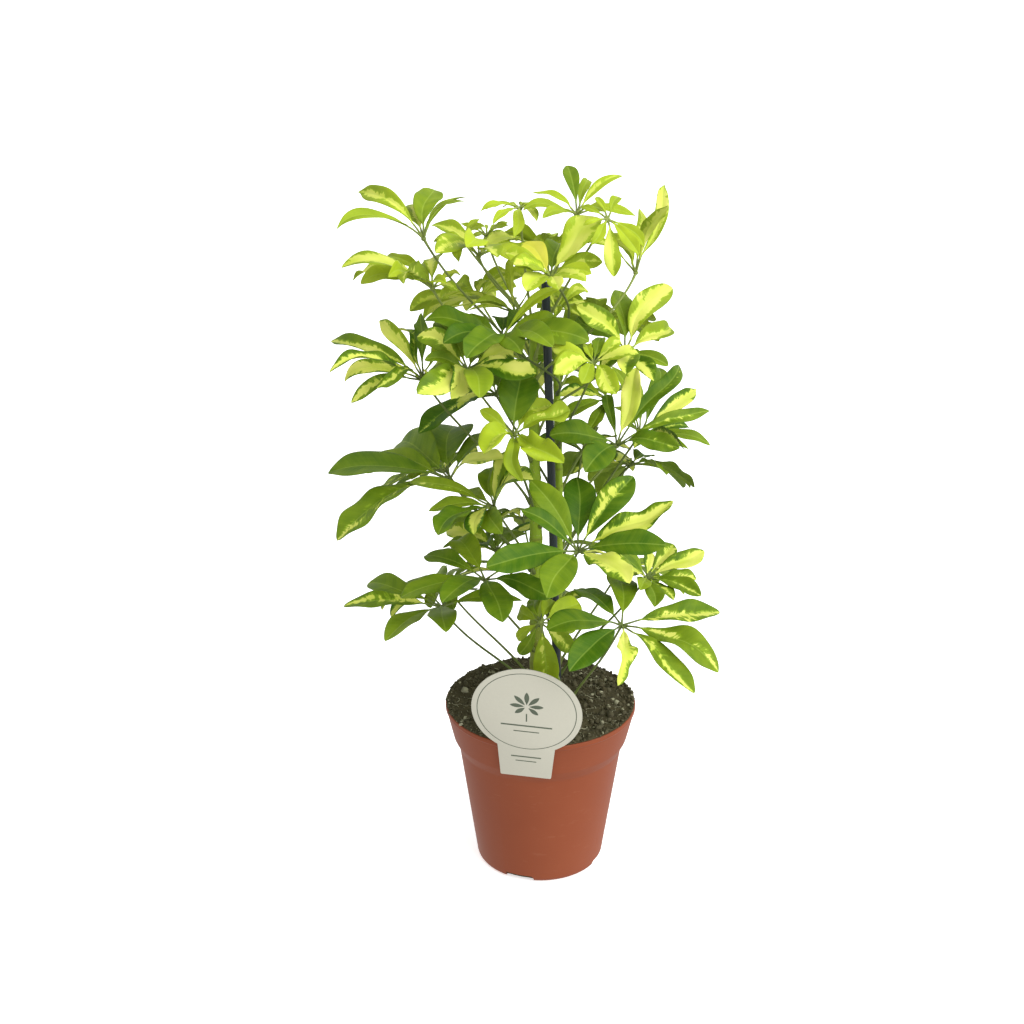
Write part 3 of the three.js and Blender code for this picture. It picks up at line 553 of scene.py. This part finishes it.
class Shader:
    """A material's nodes, by short calls. An input is a value, a number or a colour's code"""

    def __init__(self, name, gloss=0.5, **settings):
        self.material = bpy.data.materials.new(name)
        self.material.use_nodes = True
        self.tree = self.material.node_tree
        self.main = self.tree.nodes["Principled BSDF"]
        self.main.inputs["Specular IOR Level"].default_value = gloss
        for title, value in settings.items():
            self.put(value, self.main.inputs[title.replace("_", " ")])

    def put(self, value, socket):
        if isinstance(value, Value):
            self.tree.links.new(value.socket, socket)
        else:
            socket.default_value = linear(value) if isinstance(value, str) else value

    def add(self, kind, inputs=(), output=0, **settings):
        node = self.tree.nodes.new("ShaderNode" + kind)
        for title, value in settings.items():
            setattr(node, title, value)
        for place, value in dict(inputs).items():
            self.put(value, node.inputs[place])
        return Value(self, node.outputs[output])

    def math(self, operation, *values):
        return self.add("Math", enumerate(values), operation=operation)

    def attribute(self, name, output="Fac"):
        return self.add("Attribute", output=output, attribute_name=name)

    def position(self):
        return self.add("TexCoord", output="Object")

    def split(self, vector):
        return [self.add("SeparateXYZ", {0: vector}, axis) for axis in range(3)]

    def combine(self, *values):
        return self.add("CombineXYZ", enumerate(values))

    def stretched(self, vector, *factors):
        return self.combine(*[axis * factor for axis, factor in zip(self.split(vector), factors)])

    def noise(self, vector, scale, detail=2, rough=0.5):
        inputs = {"Vector": vector, "Scale": scale, "Detail": detail, "Roughness": rough}
        return self.add("TexNoise", inputs, "Fac")

    def span(self, value, low, high, start=0, end=1):
        """Value as a share of the way from low to high, without going past either end"""
        inputs = {0: value, 1: low, 2: high, 3: start, 4: end}
        return self.add("MapRange", inputs, interpolation_type="SMOOTHSTEP")

    def mix(self, share, first, second):
        return self.add("Mix", {0: share, 6: first, 7: second}, 2, data_type="RGBA")

    def finish(self, colour, roughness, relief, depth, strength):
        normal = self.add("Bump", {"Height": relief, "Distance": depth, "Strength": strength})
        for title, value in (("Base Color", colour), ("Roughness", roughness), ("Normal", normal)):
            self.put(value, self.main.inputs[title])
        return self.material


def leaf_material():
    shader = Shader("leaf", 0.12)
    along, across, spread = shader.split(shader.attribute("place", "Vector"))
    tone_and_painted_light, gold, side = shader.split(shader.attribute("tint", "Vector"))
    seed, under = shader.attribute("seed"), shader.attribute("under")
    from_rib = abs(across)
    veinward = along - from_rib * 0.6

    # Gold spreads from the midrib in streaks that follow the side veins, with green islands
    streak_place = shader.combine(veinward * 2.3, spread * 0.9, seed)
    streak = shader.noise(streak_place, 1, 4, 0.62) - 0.5
    patch = shader.noise(shader.combine(along * 0.35, across * 1.2, seed + 7.3), 1, 1.5) - 0.5
    reach = gold * 1.5 - 0.42 + patch * 1.2 + streak * 1.3 - abs(spread - side) * 0.75
    golden = shader.span(reach, 0, 0.09)
    halfway = shader.span(reach, -0.15, -0.05)
    mottle = shader.noise(streak_place, 0.45, 2) - 0.5
    # The green's lightness, and the stalk's below, carry painted light and shade besides the leaf's own
    # colour
    green = shader.mix(tone_and_painted_light + mottle * 0.35 + patch * 0.25, "#41650c", "#b8cc2e")
    pale = shader.mix(0.35, green, "#9dc030")
    yellow = shader.mix(patch * 2 + shader.span(tone_and_painted_light, 0.3, 0.8, 0.6, 0.3), "#b6ca34", "#dee170")
    yellow = shader.mix(shader.span(gold, 0.9, 1, 0, 0.5), yellow, "#dccf3a")
    blade = shader.mix(golden, shader.mix(halfway, green, pale), yellow)

    # Midrib, side veins, the duller underside and the stalk. The underside is dulled only a little, least on
    # light and gold leaflets, so that it shows painted light for the light that shines through the blade.
    rib = shader.span(from_rib, 0.03, 0.075, 1, 0)
    vein = shader.span(shader.math("PINGPONG", veinward, 0.24), 0, 0.035, 1, 0)
    blade = shader.mix(vein * 0.045, blade, "#b4cc5c")
    blade = shader.mix(rib * 0.2, blade, "#b4cc5c")
    dullness = shader.span(tone_and_painted_light, 0.2, 0.9, 0.38, 0.15) * shader.span(golden, 0, 1, 1, 0.3)
    blade = shader.mix(under, blade, shader.mix(dullness, blade, "#7a9040"))
    stalk = shader.mix(tone_and_painted_light, "#5a6838", "#9cac58")
    colour = shader.mix(shader.span(along, -0.12, 0, 1, 0), blade, stalk)
    relief = vein * -0.6 + rib * -0.5 + streak * 0.5
    return shader.finish(colour, under * 0.2 + streak * 0.2 + 0.46, relief, 0.16 * MM, 0.6)


def pot_material():
    shader = Shader("pot_plastic", 0.18)
    place = shader.position()
    broad = shader.noise(place, 16, 3)
    scuffs = shader.span(shader.noise(shader.stretched(place, 60, 60, 260), 1, 3, 0.6), 0.6, 0.75)
    near_lip = shader.span(shader.split(place)[2], 0.143, 0.156)
    dust = near_lip * shader.span(shader.noise(place, 120, 4, 0.7), 0.5, 0.72)
    colour = shader.mix(broad, "#884429", "#944e31")
    colour = shader.mix(scuffs * 0.12, colour, "#b98064")
    colour = shader.mix(dust * 0.35, colour, "#5a4030")
    roughness = broad * 0.12 + scuffs * 0.1 + 0.4
    return shader.finish(colour, roughness, shader.noise(place, 900), 0.06 * MM, 0.6)


def soil_material():
    shader = Shader("potting_soil", 0.2)
    place = shader.position()
    grain = shader.noise(place, 420, 4, 0.7)
    lumps = shader.noise(place, 90, 3)
    peat = shader.mix(grain * 0.8 + lumps * 0.5 - 0.2, "#1c1a11", "#645d42")
    colour = shader.mix(shader.attribute("shade"), peat, "#aeac90")
    return shader.finish(colour, 0.95, grain, 0.8 * MM, 1.0)


def bark_material():
    shader = Shader("stem_bark", 0.35)
    place = shader.position()
    streak = shader.noise(shader.stretched(place, 420, 420, 40), 1, 3)
    age = shader.span(shader.split(place)[2], 0.3, 0.16) + streak * 0.4 - 0.2
    young = shader.mix(streak, "#6c8c1c", "#a4c02c")
    old = shader.mix(streak, "#5c6a20", "#a0a648")
    cells = shader.add("TexVoronoi", {"Vector": place, "Scale": 340}, "Distance")
    lenticels = shader.span(cells, 0.1, 0.2, 1, 0)
    colour = shader.mix(lenticels * 0.45, shader.mix(age, young, old), "#c9c08a")
    colour = shader.mix(shader.attribute("shade") * 0.55, colour, "#6a5a2c")
    return shader.finish(colour, streak * 0.2 + 0.5, streak + lenticels, 0.3 * MM, 0.7)


def stake_material():
    shader = Shader("stake_coating", 0.5)
    place = shader.position()
    grain = shader.noise(place, 700)
    dust = shader.span(shader.split(place)[2], 0.19, 0.15)
    colour = shader.mix(shader.noise(place, 30), "#101a1c", "#233033")
    colour = shader.mix(dust * 0.35, colour, "#4a4032")
    return shader.finish(colour, grain * 0.2 + 0.34, grain, 0.1 * MM, 0.6)


def card_material(name, low, high):
    shader = Shader(name, 0.35)
    fibres = shader.noise(shader.position(), 500, 3)
    return shader.finish(shader.mix(fibres, low, high), fibres * 0.12 + 0.5, fibres, 0.05 * MM, 0.5)


leaf_look = leaf_material()
pot_look = pot_material()
soil_look = soil_material()
bark_look = bark_material()
stake_look = stake_material()
card_look = card_material("label_card", "#cbc9b8", "#d2cfbe")
print_look = card_material("label_print", "#56604f", "#626b59")


# Leaves: each leaflet is one closed body from its stalk to its drip tip

def leaflet_rows(shape):
    """Where a leaflet's rings stand, as shares of its length, closer at both ends of the blade"""
    stalk, length = shape["stalk"], shape["length"]
    step = np.linspace(0, 1, int(np.clip(length / ROW_STEP, 14, 34)))
    blade_rows = 0.6 * step + 0.4 * (0.5 - 0.5 * np.cos(pi * step))
    stalk_rows = np.linspace(0.5 * HUB_RING / length, stalk, STALK_ROWS, endpoint=False)
    return np.concatenate([stalk_rows, stalk + (1 - stalk) * blade_rows])


def blade_width(blade, slim, breadth, draw):
    widest, blunt = draw.uniform(1.3, 1.7) - 0.3 * slim, draw.uniform(0.5, 0.62) + 0.2 * slim
    drip = draw.uniform(0, 0.2 + 0.3 * slim)
    width = np.sin(pi * np.clip(blade, 1e-4, 0.9995) ** widest) ** blunt
    width = breadth * width * (1 - drip * smooth(blade, 0.8, 0.97))
    return np.maximum(width, STALK_RADIUS * (1 - 0.85 * smooth(blade, 0.5, 1)))


def blade_bends(blade, length, curl, draw):
    bow, snake = (np.sin(pi * blade * turns) * length for turns in (1, 2))
    aside = draw.uniform(-1, 1) * (0.02 + 0.03 * curl) * bow
    aside += draw.uniform(-1, 1) * (0.012 + 0.03 * curl) * snake
    hook = draw.choice((-1, 1)) * draw.uniform(0.3, 1) * (0.03 + 0.13 * curl)
    aside += hook * length * smooth(blade, 0.5, 1.15)
    droop = draw.uniform(0.1, 1) * (0.04 + 0.12 * curl) * length * blade ** 3
    droop += draw.uniform(-1, 1) * (0.01 + 0.03 * curl) * snake
    return aside[:, None], droop[:, None]


def twisted(side, lift, blade, curl, turn, draw):
    """A blade's two directions with its own twist, and with its face turned to the front"""
    twist = draw.uniform(-1, 1) * (0.15 + 0.6 * curl) * smooth(blade, 0.05, 0.9)
    middle = STALK_ROWS + (len(blade) - STALK_ROWS) // 2
    facing = atan2(-side[middle] @ TO_VIEWER, lift[middle] @ TO_VIEWER)
    facing = (facing + pi / 2) % pi - pi / 2
    twist = (twist + turn * facing * smooth(blade, 0, 0.25))[:, None]
    return side * np.cos(twist) + lift * np.sin(twist), lift * np.cos(twist) - side * np.sin(twist)


def blade_height(across, width, blade, length, curl, draw):
    """Height of a blade's faces: its fold, waves, swellings between veins, thickness and midrib"""
    trough = np.sqrt(COLUMNS ** 2 + 0.02) - 0.14 - 0.22 * COLUMNS ** 6
    height = draw.uniform(0.12 + 0.25 * curl, 0.3 + 0.5 * curl) * width * trough
    waves = draw.uniform(1.2, 2.8)
    phases = np.where(COLUMNS > 0, draw.uniform(0, 6.28), draw.uniform(0, 6.28))
    swing = draw.uniform(0.04, 0.1 + 0.3 * curl) * width * COLUMNS ** 2
    height += swing * np.sin(2 * pi * waves * blade + phases)
    pillow = 0.05 * MM * np.sin(2 * pi * (blade * length / (5 * MM) - np.abs(across) / (8 * MM)))
    height += pillow * np.abs(COLUMNS) * (1 - COLUMNS ** 2) * 2
    height += BLADE_THICKNESS / 2 * np.sqrt(1 - COLUMNS ** 4) * np.where(UPPER, 1, -1)
    rib = np.exp(-(across / (0.75 * MM)) ** 2) * (1 - 0.8 * blade)
    return height - np.where(UPPER, 0.18, 0.55) * MM * rib * (1 - np.abs(COLUMNS))


def leaflet(shape, look, draw):
    """Rings of a leaflet, and for each point its place on the blade and whether it is underneath"""
    tone_and_painted_light, gold, curl, breadth, turn = look
    length, stalk = shape["length"], shape["stalk"]
    shares = leaflet_rows(shape)
    blade = np.clip((shares - stalk) / (1 - stalk), 0, 1)
    path = on_curve(shape["curve"], shares)
    side, lift = sides_along(path, shape["across"])

    slim = 1 - smooth(shape["half"] / length, 0.09, 0.18)
    curl *= draw.uniform(0.5, 1.2)
    width = blade_width(blade, slim, shape["half"] * breadth * (1.08 - 0.2 * curl), draw)[:, None]
    aside, droop = blade_bends(blade, length, curl, draw)
    path = path + side * aside - lift * droop
    side, lift = twisted(side, lift, blade, curl, turn, draw)
    height = blade_height(COLUMNS * width, width, blade[:, None], length, curl, draw)

    # The round stalk opens into the blade
    radius = STALK_RADIUS * (1 + 0.35 * (1 - smooth(shares / stalk, 0.1, 0.6)))[:, None]
    opened = smooth(blade, 0, 0.09)[:, None]
    across = COLUMNS * width * opened + radius * np.cos(TURNS) * (1 - opened)
    height = height * opened + radius * np.sin(TURNS) * (1 - opened)
    rings = path[:, None] + across[..., None] * side[:, None] + height[..., None] * lift[:, None]

    distance = (shares - stalk)[:, None] * length
    place = np.stack(np.broadcast_arrays(distance / PLACE_UNIT, across / PLACE_UNIT, COLUMNS), axis=2)
    place = np.concatenate([place.reshape(-1, 3), place[[0, -1]].mean(axis=1)])
    under = np.append(np.tile(~UPPER, len(shares)), [False, False])
    return rings, place, under, (tone_and_painted_light, gold, draw.uniform(-0.45, 0.45)), draw.uniform(0, 90)


def leaflet_looks(leaf, title, draw):
    """For each leaflet of a leaf: how light its green is, painted light and shade included, its gold, curl,
    breadth and turn
    """
    own, singles = LOOKS.get(title, (BACK_LOOK, {}))
    tone_and_painted_light, share, curl, breadth = (*own, 1)[:4]
    turn = FRONT_TURN if title in LOOKS and title not in FLAT_LEAVES else 0
    looks = []
    for _ in leaf["leaflets"]:
        gold = draw.uniform(0.3, 0.7) if draw.random() < share else draw.uniform(GREEN, 0.05)
        own_tone_and_painted_light = tone_and_painted_light + draw.uniform(-0.14, 0.14) - 0.35 * max(gold, 0)
        looks.append((own_tone_and_painted_light, gold, curl, breadth, turn))
    hours = [shape["hour"] for shape in leaf["leaflets"]]
    for hour, known in singles.items():
        away = [12 if other is None else abs((other - hour + 6) % 12 - 6) for other in hours]
        nearest = int(np.argmin(away))
        looks[nearest] = (*known, *looks[nearest][len(known):])
    return looks


def hub_rings(leaf):
    heights = np.cos(np.linspace(pi * 0.97, pi * 0.03, 9))
    radii = np.sqrt(1 - heights ** 2) * HUB_RING * 0.85
    path = leaf["centre"] + leaf["axis"] * (heights * 1.9 * MM)[:, None]
    return tube(path, radii, 14, either(ACROSS, AHEAD, leaf["axis"]))


def petiole_rings(leaf):
    path = leaf["petiole"]
    steps = lengths_along(path)
    fit = np.polyfit(steps / steps[-1], path, min(4, len(path) - 1))
    places = np.linspace(0, 1, 34)
    curve = on_curve(fit, places)
    from_base = (1 - places) * steps[-1]
    radii = 0.95 + 0.2 * smooth(places, 0.2, 0.9) + np.exp(-(from_base / (6 * MM)) ** 2)
    radii = (radii + 0.3 * np.exp(-(places / 0.04) ** 2)) * MM
    return tube(curve[::-1], radii[::-1], 12, either(UP, ACROSS, unit(curve[-1] - curve[0])))


def leaf_piece(node):
    draw = random.Random(node)
    leaf = read_leaf(node)
    title = node[len("leaf_"):]
    if title not in WHOLE_LEAVES:
        leaf["leaflets"] += more_leaflets(leaf, node, draw)
    looks = leaflet_looks(leaf, title, draw)
    bodies, marks = [], {"place": [], "under": [], "tint": [], "seed": []}

    def keep(rings, place, under, tint, seed):
        bodies.append(skin(rings))
        count = len(bodies[-1][0])
        marks["place"].append(np.broadcast_to(place, (count, 3)))
        marks["under"].append(np.broadcast_to(under, count))
        marks["tint"].append(np.broadcast_to(tint, (count, 3)))
        marks["seed"].append(np.broadcast_to(seed, count))

    for shape, look in zip(leaf["leaflets"], looks):
        keep(*leaflet(shape, look, draw))
    # Hub and petiole count as lying before a blade, so they look like its stalk
    for rings in (hub_rings(leaf), petiole_rings(leaf)):
        keep(rings, (-1, 0, 0), 0, (looks[0][0], 0, 0), 0)
    attributes = {mark: np.concatenate(values) for mark, values in marks.items()}
    piece(node + "_fine", joined(bodies), leaf_look, [node], attributes)


# Stems and stake

def stem_piece(node):
    draw = random.Random(node)
    middles, radii = rod_rings(node)
    tall = middles[-1][2] - middles[0][2]
    count = int(tall / STEM_STEP)
    places, fine = np.linspace(0, 1, len(middles)), np.linspace(0, 1, count)
    path = on_curve(np.polyfit(places, middles, 4), fine)
    size = np.interp(fine, places, radii)[:, None]
    height = path[:, 2:] - middles[0][2]
    turns = full_turn(STEM_SIDES)
    shade = np.zeros((count, STEM_SIDES))
    radius = np.repeat(size, STEM_SIDES, axis=1)
    spot = 0.02
    while spot < tall - 0.01:
        gap = height - spot - 1.2 * MM * np.cos(turns - draw.uniform(0, 2 * pi))
        ring = np.exp(-(gap / (0.9 * MM)) ** 2)
        shade = np.maximum(shade, ring)
        radius = radius + size * (0.1 * ring + 0.07 * np.exp(-(gap / (5 * MM)) ** 2))
        spot += draw.uniform(0.016, 0.03)
    for row, side in np.ndindex(radius.shape):
        at = Vector((*polar(1.5, turns[side]), path[row][2] * 60))
        radius[row, side] *= 1 + 0.05 * noise.noise(at)
    end = np.clip((path[-1][2] - path[:, 2:]) / (5 * MM), 0, 1)
    radius *= np.sqrt(1 - (1 - end) ** 2) * 0.98 + 0.02
    body = skin(tube(path, radius, STEM_SIDES))
    piece(node + "_fine", body, bark_look, [node], {"shade": np.append(shade, [0, 0])})


def stake_piece():
    middles, radii = rod_rings("stake")
    radius = radii.mean()
    length = norm(middles[-1] - middles[0])
    ends = [(drop * MM, radius * (0.97 * sqrt(1 - (1 - drop / 3.2) ** 2) + 0.03))
            for drop in (0, 0.3, 1.0, 2.0, 3.2)]
    rows = ends + [(length * share, radius) for share in np.linspace(0.03, 0.97, 40)]
    rows += [(length - place, size) for place, size in reversed(ends)]
    places, sizes = np.array(rows).T
    path = middles[0] + unit(middles[-1] - middles[0]) * places[:, None]
    piece("stake_fine", skin(tube(path, sizes, 32)), stake_look, ["stake"])


# Pot

def notch_cutter():
    block = bmesh.new()
    bmesh.ops.create_cube(block, size=1.0)
    bmesh.ops.scale(block, vec=Vector(NOTCH_SIZE) * MM, verts=block.verts)
    above = [edge for edge in block.edges if min(corner.co.z for corner in edge.verts) > 0]
    outward = [edge for edge in above if abs(edge.verts[0].co.x - edge.verts[1].co.x) > MM]
    bmesh.ops.bevel(block, geom=outward, offset=NOTCH_ROUNDING * MM, segments=4, affect="EDGES", profile=0.5)
    data = bpy.data.meshes.new("cutter")
    block.to_mesh(data)
    block.free()
    return added("cutter", data)


def pot_piece():
    body = lathe(np.array(rounded(POT_OUTSIDE + POT_INSIDE)) * MM, 144)
    pot = piece("pot_shell", body, pot_look, ["pot"], crease=40)
    for index in range(NOTCHES):
        angle = radians(FIRST_NOTCH + 360 * index / NOTCHES)
        cutter = notch_cutter()
        cutter.matrix_world = Matrix.Rotation(angle, 4, "Z") @ Matrix.Translation((BASE_RADIUS * MM, 0, 0))
        change = pot.modifiers.new("notch", "BOOLEAN")
        change.object = cutter
        change.operation = "DIFFERENCE"
        change.solver = "EXACT"
        bpy.context.view_layer.update()
        cut = bpy.data.meshes.new_from_object(pot.evaluated_get(bpy.context.evaluated_depsgraph_get()))
        pot.modifiers.remove(change)
        pot.data = cut
        bpy.data.objects.remove(cutter)
    pot.data.set_sharp_from_angle(angle=radians(38))


# Soil

def ground(x, y):
    """Height of the soil's rough surface, which is level with the pot's lip and lies over it"""
    radius = hypot(x, y) / MM
    at = Vector((x, y, 0.0)) / MM
    rough = 2 * noise.noise(at / 17) + 1.3 * noise.noise(at / 7 + Vector((9, 0, 0)))
    rough += 0.7 * noise.noise(at / 2.6)
    height = np.interp(radius, *zip(*SOIL_TOP)) + 0.4 + rough * np.interp(radius, (0, 70, 85), (1, 1, 0.55))
    return max(height, POT_HEIGHT + 0.3 if radius > 81 else 0) * MM


def soil_edge(turn):
    """How far out the soil reaches on the lip, in mm"""
    way = Vector((*polar(1, turn), 0))
    return SOIL_REACH + 0.9 * noise.noise(way * 5) + 0.5 * noise.noise(way * 17)


def soil_piece():
    turns, rows = full_turn(180), 46
    edge = [soil_edge(turn) for turn in turns]
    rings = [[(*polar(radius * MM, turn), height * MM) for turn in turns] for radius, height in SOIL_BELOW]
    for inset, rise in ((0.4, 0.1), (0.0, 0.35)):
        rings.append([(*polar((reach - inset) * MM, turn), (POT_HEIGHT + rise) * MM)
                      for reach, turn in zip(edge, turns)])
    for row in range(rows):
        spots = [polar((reach - 0.3) * (1 - row / rows) * MM, turn) for reach, turn in zip(edge, turns)]
        rings.append([(*spot, ground(*spot)) for spot in spots])
    body = skin(rings)
    piece("soil_body", body, soil_look, ["soil"], {"shade": np.zeros(len(body[0]))})


def crumb(draw, spot, size, detail):
    mesh = bmesh.new()
    bmesh.ops.create_icosphere(mesh, subdivisions=detail, radius=1.0)
    stretch = Vector([draw.uniform(0.6, 1.3) for _ in range(3)]) * size
    off = Vector([draw.uniform(0, 90) for _ in range(3)])
    turn = Matrix.Rotation(draw.uniform(0, 6.28), 3, Vector([draw.gauss(0, 1) for _ in range(3)]))
    points = []
    for corner in mesh.verts:
        at = corner.co * (1 + 0.45 * noise.noise(corner.co * 1.6 + off))
        points.append(np.array(turn @ (at * stretch)) + spot)
    faces = [tuple(corner.index for corner in face.verts) for face in mesh.faces]
    mesh.free()
    return np.array(points), faces


def fibre(draw, x, y):
    way, length, bend = draw.uniform(0, 6.28), draw.uniform(4, 13) * MM, draw.uniform(-1.2, 1.2)
    path = []
    for step in np.linspace(-0.5, 0.5, 7):
        ahead, aside = polar(step * length, way + bend * step)
        spot = (x + ahead, y + aside)
        path.append((*spot, ground(*spot) + draw.uniform(0.2, 0.9) * MM))
    return skin(tube(np.array(path), draw.uniform(0.12, 0.32) * MM, 5, UP))


def litter_piece():
    draw = random.Random("litter")
    bodies, shades = [], []
    for index in range(CRUMBS):
        large, near_edge = index % 4 == 0, index % 3 == 0
        turn = draw.uniform(0, 2 * pi)
        radius = soil_edge(turn) - abs(draw.gauss(0, 2.2)) if near_edge else 80.0 * sqrt(draw.random())
        x, y = polar(radius * MM, turn)
        size = draw.uniform(1.3, 3.0) if large else draw.uniform(0.5, 1.4)
        size *= (0.65 if near_edge else 1) * MM
        shades.append(draw.uniform(0.5, 1) if draw.random() < 0.1 else draw.uniform(0, 0.14))
        spot = np.array([x, y, ground(x, y) + 0.1 * size])
        bodies.append(crumb(draw, spot, size, 2 if large else 1))
    for _ in range(FIBRES):
        radius = 76.0 * MM * sqrt(draw.random())
        bodies.append(fibre(draw, *polar(radius, draw.uniform(0, 2 * pi))))
        shades.append(draw.uniform(0.25, 1))
    shade = np.repeat(shades, [len(points) for points, _ in bodies])
    piece("soil_litter", joined(bodies), soil_look, (), {"shade": shade})


# Label

def on_pot(points):
    """Points of the label's own plane, Y up and Z to the front, in mm, in their place on the pot"""
    rise = Matrix.Translation((0, CENTRE_UP, 0))
    roll = Matrix.Rotation(-LABEL_ROLL, 4, "Z")
    stand = Matrix.Rotation(radians(90) + LABEL_LEAN, 4, "X")
    contact = LIP_RADIUS + TOUCH_GAP + THICKNESS / 2 / cos(LABEL_LEAN)
    out = Matrix.Translation((0, -contact, RIM_CONTACT_Z))
    turn = Matrix.Rotation(LABEL_TURN, 4, "Z")
    matrix = np.array(Matrix.Scale(MM, 4) @ turn @ out @ stand @ roll @ rise)
    return points @ matrix[:3, :3].T + matrix[:3, 3]


def plate_outline():
    """The disc's arc round the top, then the tab's two rounded lower corners"""
    half = TAB_TOP / 2
    start = atan2(-sqrt(DISC_RADIUS ** 2 - half ** 2), half)
    outline = [polar(DISC_RADIUS, turn) for turn in np.linspace(start, pi - start, 96)]
    up = TAB_ROUNDING - DISC_RADIUS - TAB_LENGTH
    for side, first in ((-1, 180), (1, 270)):
        middle = side * (TAB_BOTTOM / 2 - TAB_ROUNDING)
        for step in range(5):
            x, y = polar(TAB_ROUNDING, radians(first + 22.5 * step))
            outline.append((middle + x, up + y))
    return np.array(outline)


def flat_body(outline, thickness, edge):
    ways = unit(outline - outline.mean(axis=0))
    rise = [(edge, 0), (edge * 0.3, edge * 0.3), (0, edge)]
    rings = []
    for inset, height in rise + [(inset, thickness - height) for inset, height in reversed(rise)]:
        level = np.full(len(outline), height - thickness / 2)
        rings.append(np.column_stack([outline - ways * inset, level]))
    corners = np.arange(len(rings) * len(outline)).reshape(len(rings), -1)
    faces = bands(*corners.shape) + [tuple(corners[0, ::-1].tolist()), tuple(corners[-1].tolist())]
    return np.concatenate(rings), faces


def flat_ring(inner, outer, thickness):
    circle = np.array([polar(1, turn) for turn in full_turn(128)])
    top, bottom = thickness / 2, -thickness / 2
    rows = ((inner, top), (outer, top), (outer, bottom), (inner, bottom))
    points = [np.column_stack([circle * radius, np.full(len(circle), height)]) for radius, height in rows]
    return np.concatenate(points), bands(len(rows), len(circle), closed=True)


def tongue_body():
    """The strip that bends over the rim and goes down into the soil"""
    level = tan(LABEL_LEAN)
    over_rim = POT_HEIGHT - RIM_CONTACT_Z + TOUCH_GAP + TONGUE_WIDTH / 2 * sin(LABEL_ROLL)
    bridge_up = over_rim / cos(LABEL_LEAN) - CENTRE_UP
    middle = THICKNESS / 2
    corner = np.array([BRIDGE + middle, bridge_up - (BRIDGE + middle) * level + middle])
    path = [(0, bridge_up + middle), (BRIDGE * 0.5, bridge_up - BRIDGE * 0.5 * level + middle)]
    path += [corner - BRIDGE_BEND + polar(BRIDGE_BEND, radians(90 - 15 * step)) for step in range(7)]
    foot = bridge_up - BRIDGE * level - TONGUE_DEPTH
    path = np.array([*path, (corner[0], foot + 20), (corner[0], foot)])
    along = unit(np.gradient(path, axis=0))
    square = np.stack([-along[:, 1], along[:, 0]], axis=1) * middle
    rings = []
    for place, (spot, way) in enumerate(zip(path, square)):
        half = TONGUE_WIDTH / 2 * (0.6 if place == len(path) - 1 else 1)
        corners = ((-half, spot - way), (half, spot - way), (half, spot + way), (-half, spot + way))
        rings.append([(x, rise, -back) for x, (back, rise) in corners])
    return skin(rings)


def icon_leaflet(index):
    """One of the seven leaflets of the small leaf drawn on the card, as an outline"""
    shares = np.linspace(0, 1, 14)
    along = 2.0 + shares * (11 + 3 * sin(pi * index / 6))
    half = 2.1 * np.sin(pi * shares ** 1.2) ** 0.8
    outline = np.concatenate([np.column_stack([along, half]), np.column_stack([along, -half])[-2:0:-1]])
    return outline[::-1] @ spin(radians(-40 + 260 * index / 6)) + (0, 6.0)


def bar(up, width, height):
    return np.array([(-0.5, -0.5), (0.5, -0.5), (0.5, 0.5), (-0.5, 0.5)]) * (width, height) + (0, up)


def label_pieces():
    points, faces = joined([flat_body(plate_outline(), THICKNESS, 0.18), tongue_body()])
    piece("label_plate", (on_pot(points), faces), card_look, ["label"], crease=50)
    outlines = [icon_leaflet(index) for index in range(7)] + [bar(*sizes) for sizes in PRINTED_BARS]
    marks = [flat_ring(*PRINTED_RING, PRINT_HEIGHT)]
    marks += [flat_body(outline, PRINT_HEIGHT, PRINT_EDGE) for outline in outlines]
    points, faces = joined(marks)
    points = on_pot(points + (0, 0, THICKNESS / 2 + 0.02))
    piece("label_marks", (points, faces), print_look, crease=50)


# Everything

for node in sorted(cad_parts):
    if node.startswith("leaf_"):
        leaf_piece(node)
for node in ("stem_main", "stem_side", "stem_low"):
    stem_piece(node)
stake_piece()
pot_piece()
soil_piece()
litter_piece()
label_pieces()


# Stage, light and camera

def studio(name, mesh, **finish):
    """A surface of the stage, which neither lights the plant nor shows in its gloss"""
    mesh.materials.append(Shader("studio_" + name, Emission_Color="#ffffff", **finish).material)
    thing = added(name, mesh)
    thing.visible_diffuse = False
    thing.visible_glossy = False
    return thing


def stage():
    floor = bpy.data.meshes.new("floor")
    floor.from_pydata([(-4, -4, 0), (4, -4, 0), (4, 4, 0), (-4, 4, 0)], [], [(0, 1, 2, 3)])
    grey = (0.95, 0.95, 0.95, 1)
    studio("floor", floor, gloss=0.1, Roughness=0.9, Emission_Strength=0.55, Base_Color=grey)
    dome = bpy.data.meshes.new("backdrop")
    body = bmesh.new()
    bmesh.ops.create_uvsphere(body, u_segments=48, v_segments=24, radius=3.9)
    body.to_mesh(dome)
    body.free()
    studio("backdrop", dome, Roughness=1.0, Emission_Strength=1.1).visible_shadow = False
    world = bpy.data.worlds.new("studio")
    world.use_nodes = True
    light = world.node_tree.nodes["Background"].inputs
    light["Color"].default_value = (1, 1, 1, 1)
    light["Strength"].default_value = 0.8
    bpy.context.scene.world = world


def sun():
    light = bpy.data.lights.new("key", "SUN")
    light.energy = 2.9
    light.angle = radians(60)
    added("key", light).rotation_euler = Vector((-0.85, 0.6, -0.85)).to_track_quat("-Z", "Y").to_euler()


def camera():
    view = bpy.data.cameras.new("camera")
    view.lens = LENS
    view.clip_end = 20
    eye = added("camera", view)
    eye.location = EYE
    eye.rotation_euler = (pi / 2 - VIEW_PITCH, 0, 0)
    bpy.context.scene.camera = eye


stage()
sun()
camera()
bpy.context.scene.view_settings.view_transform = "Standard"
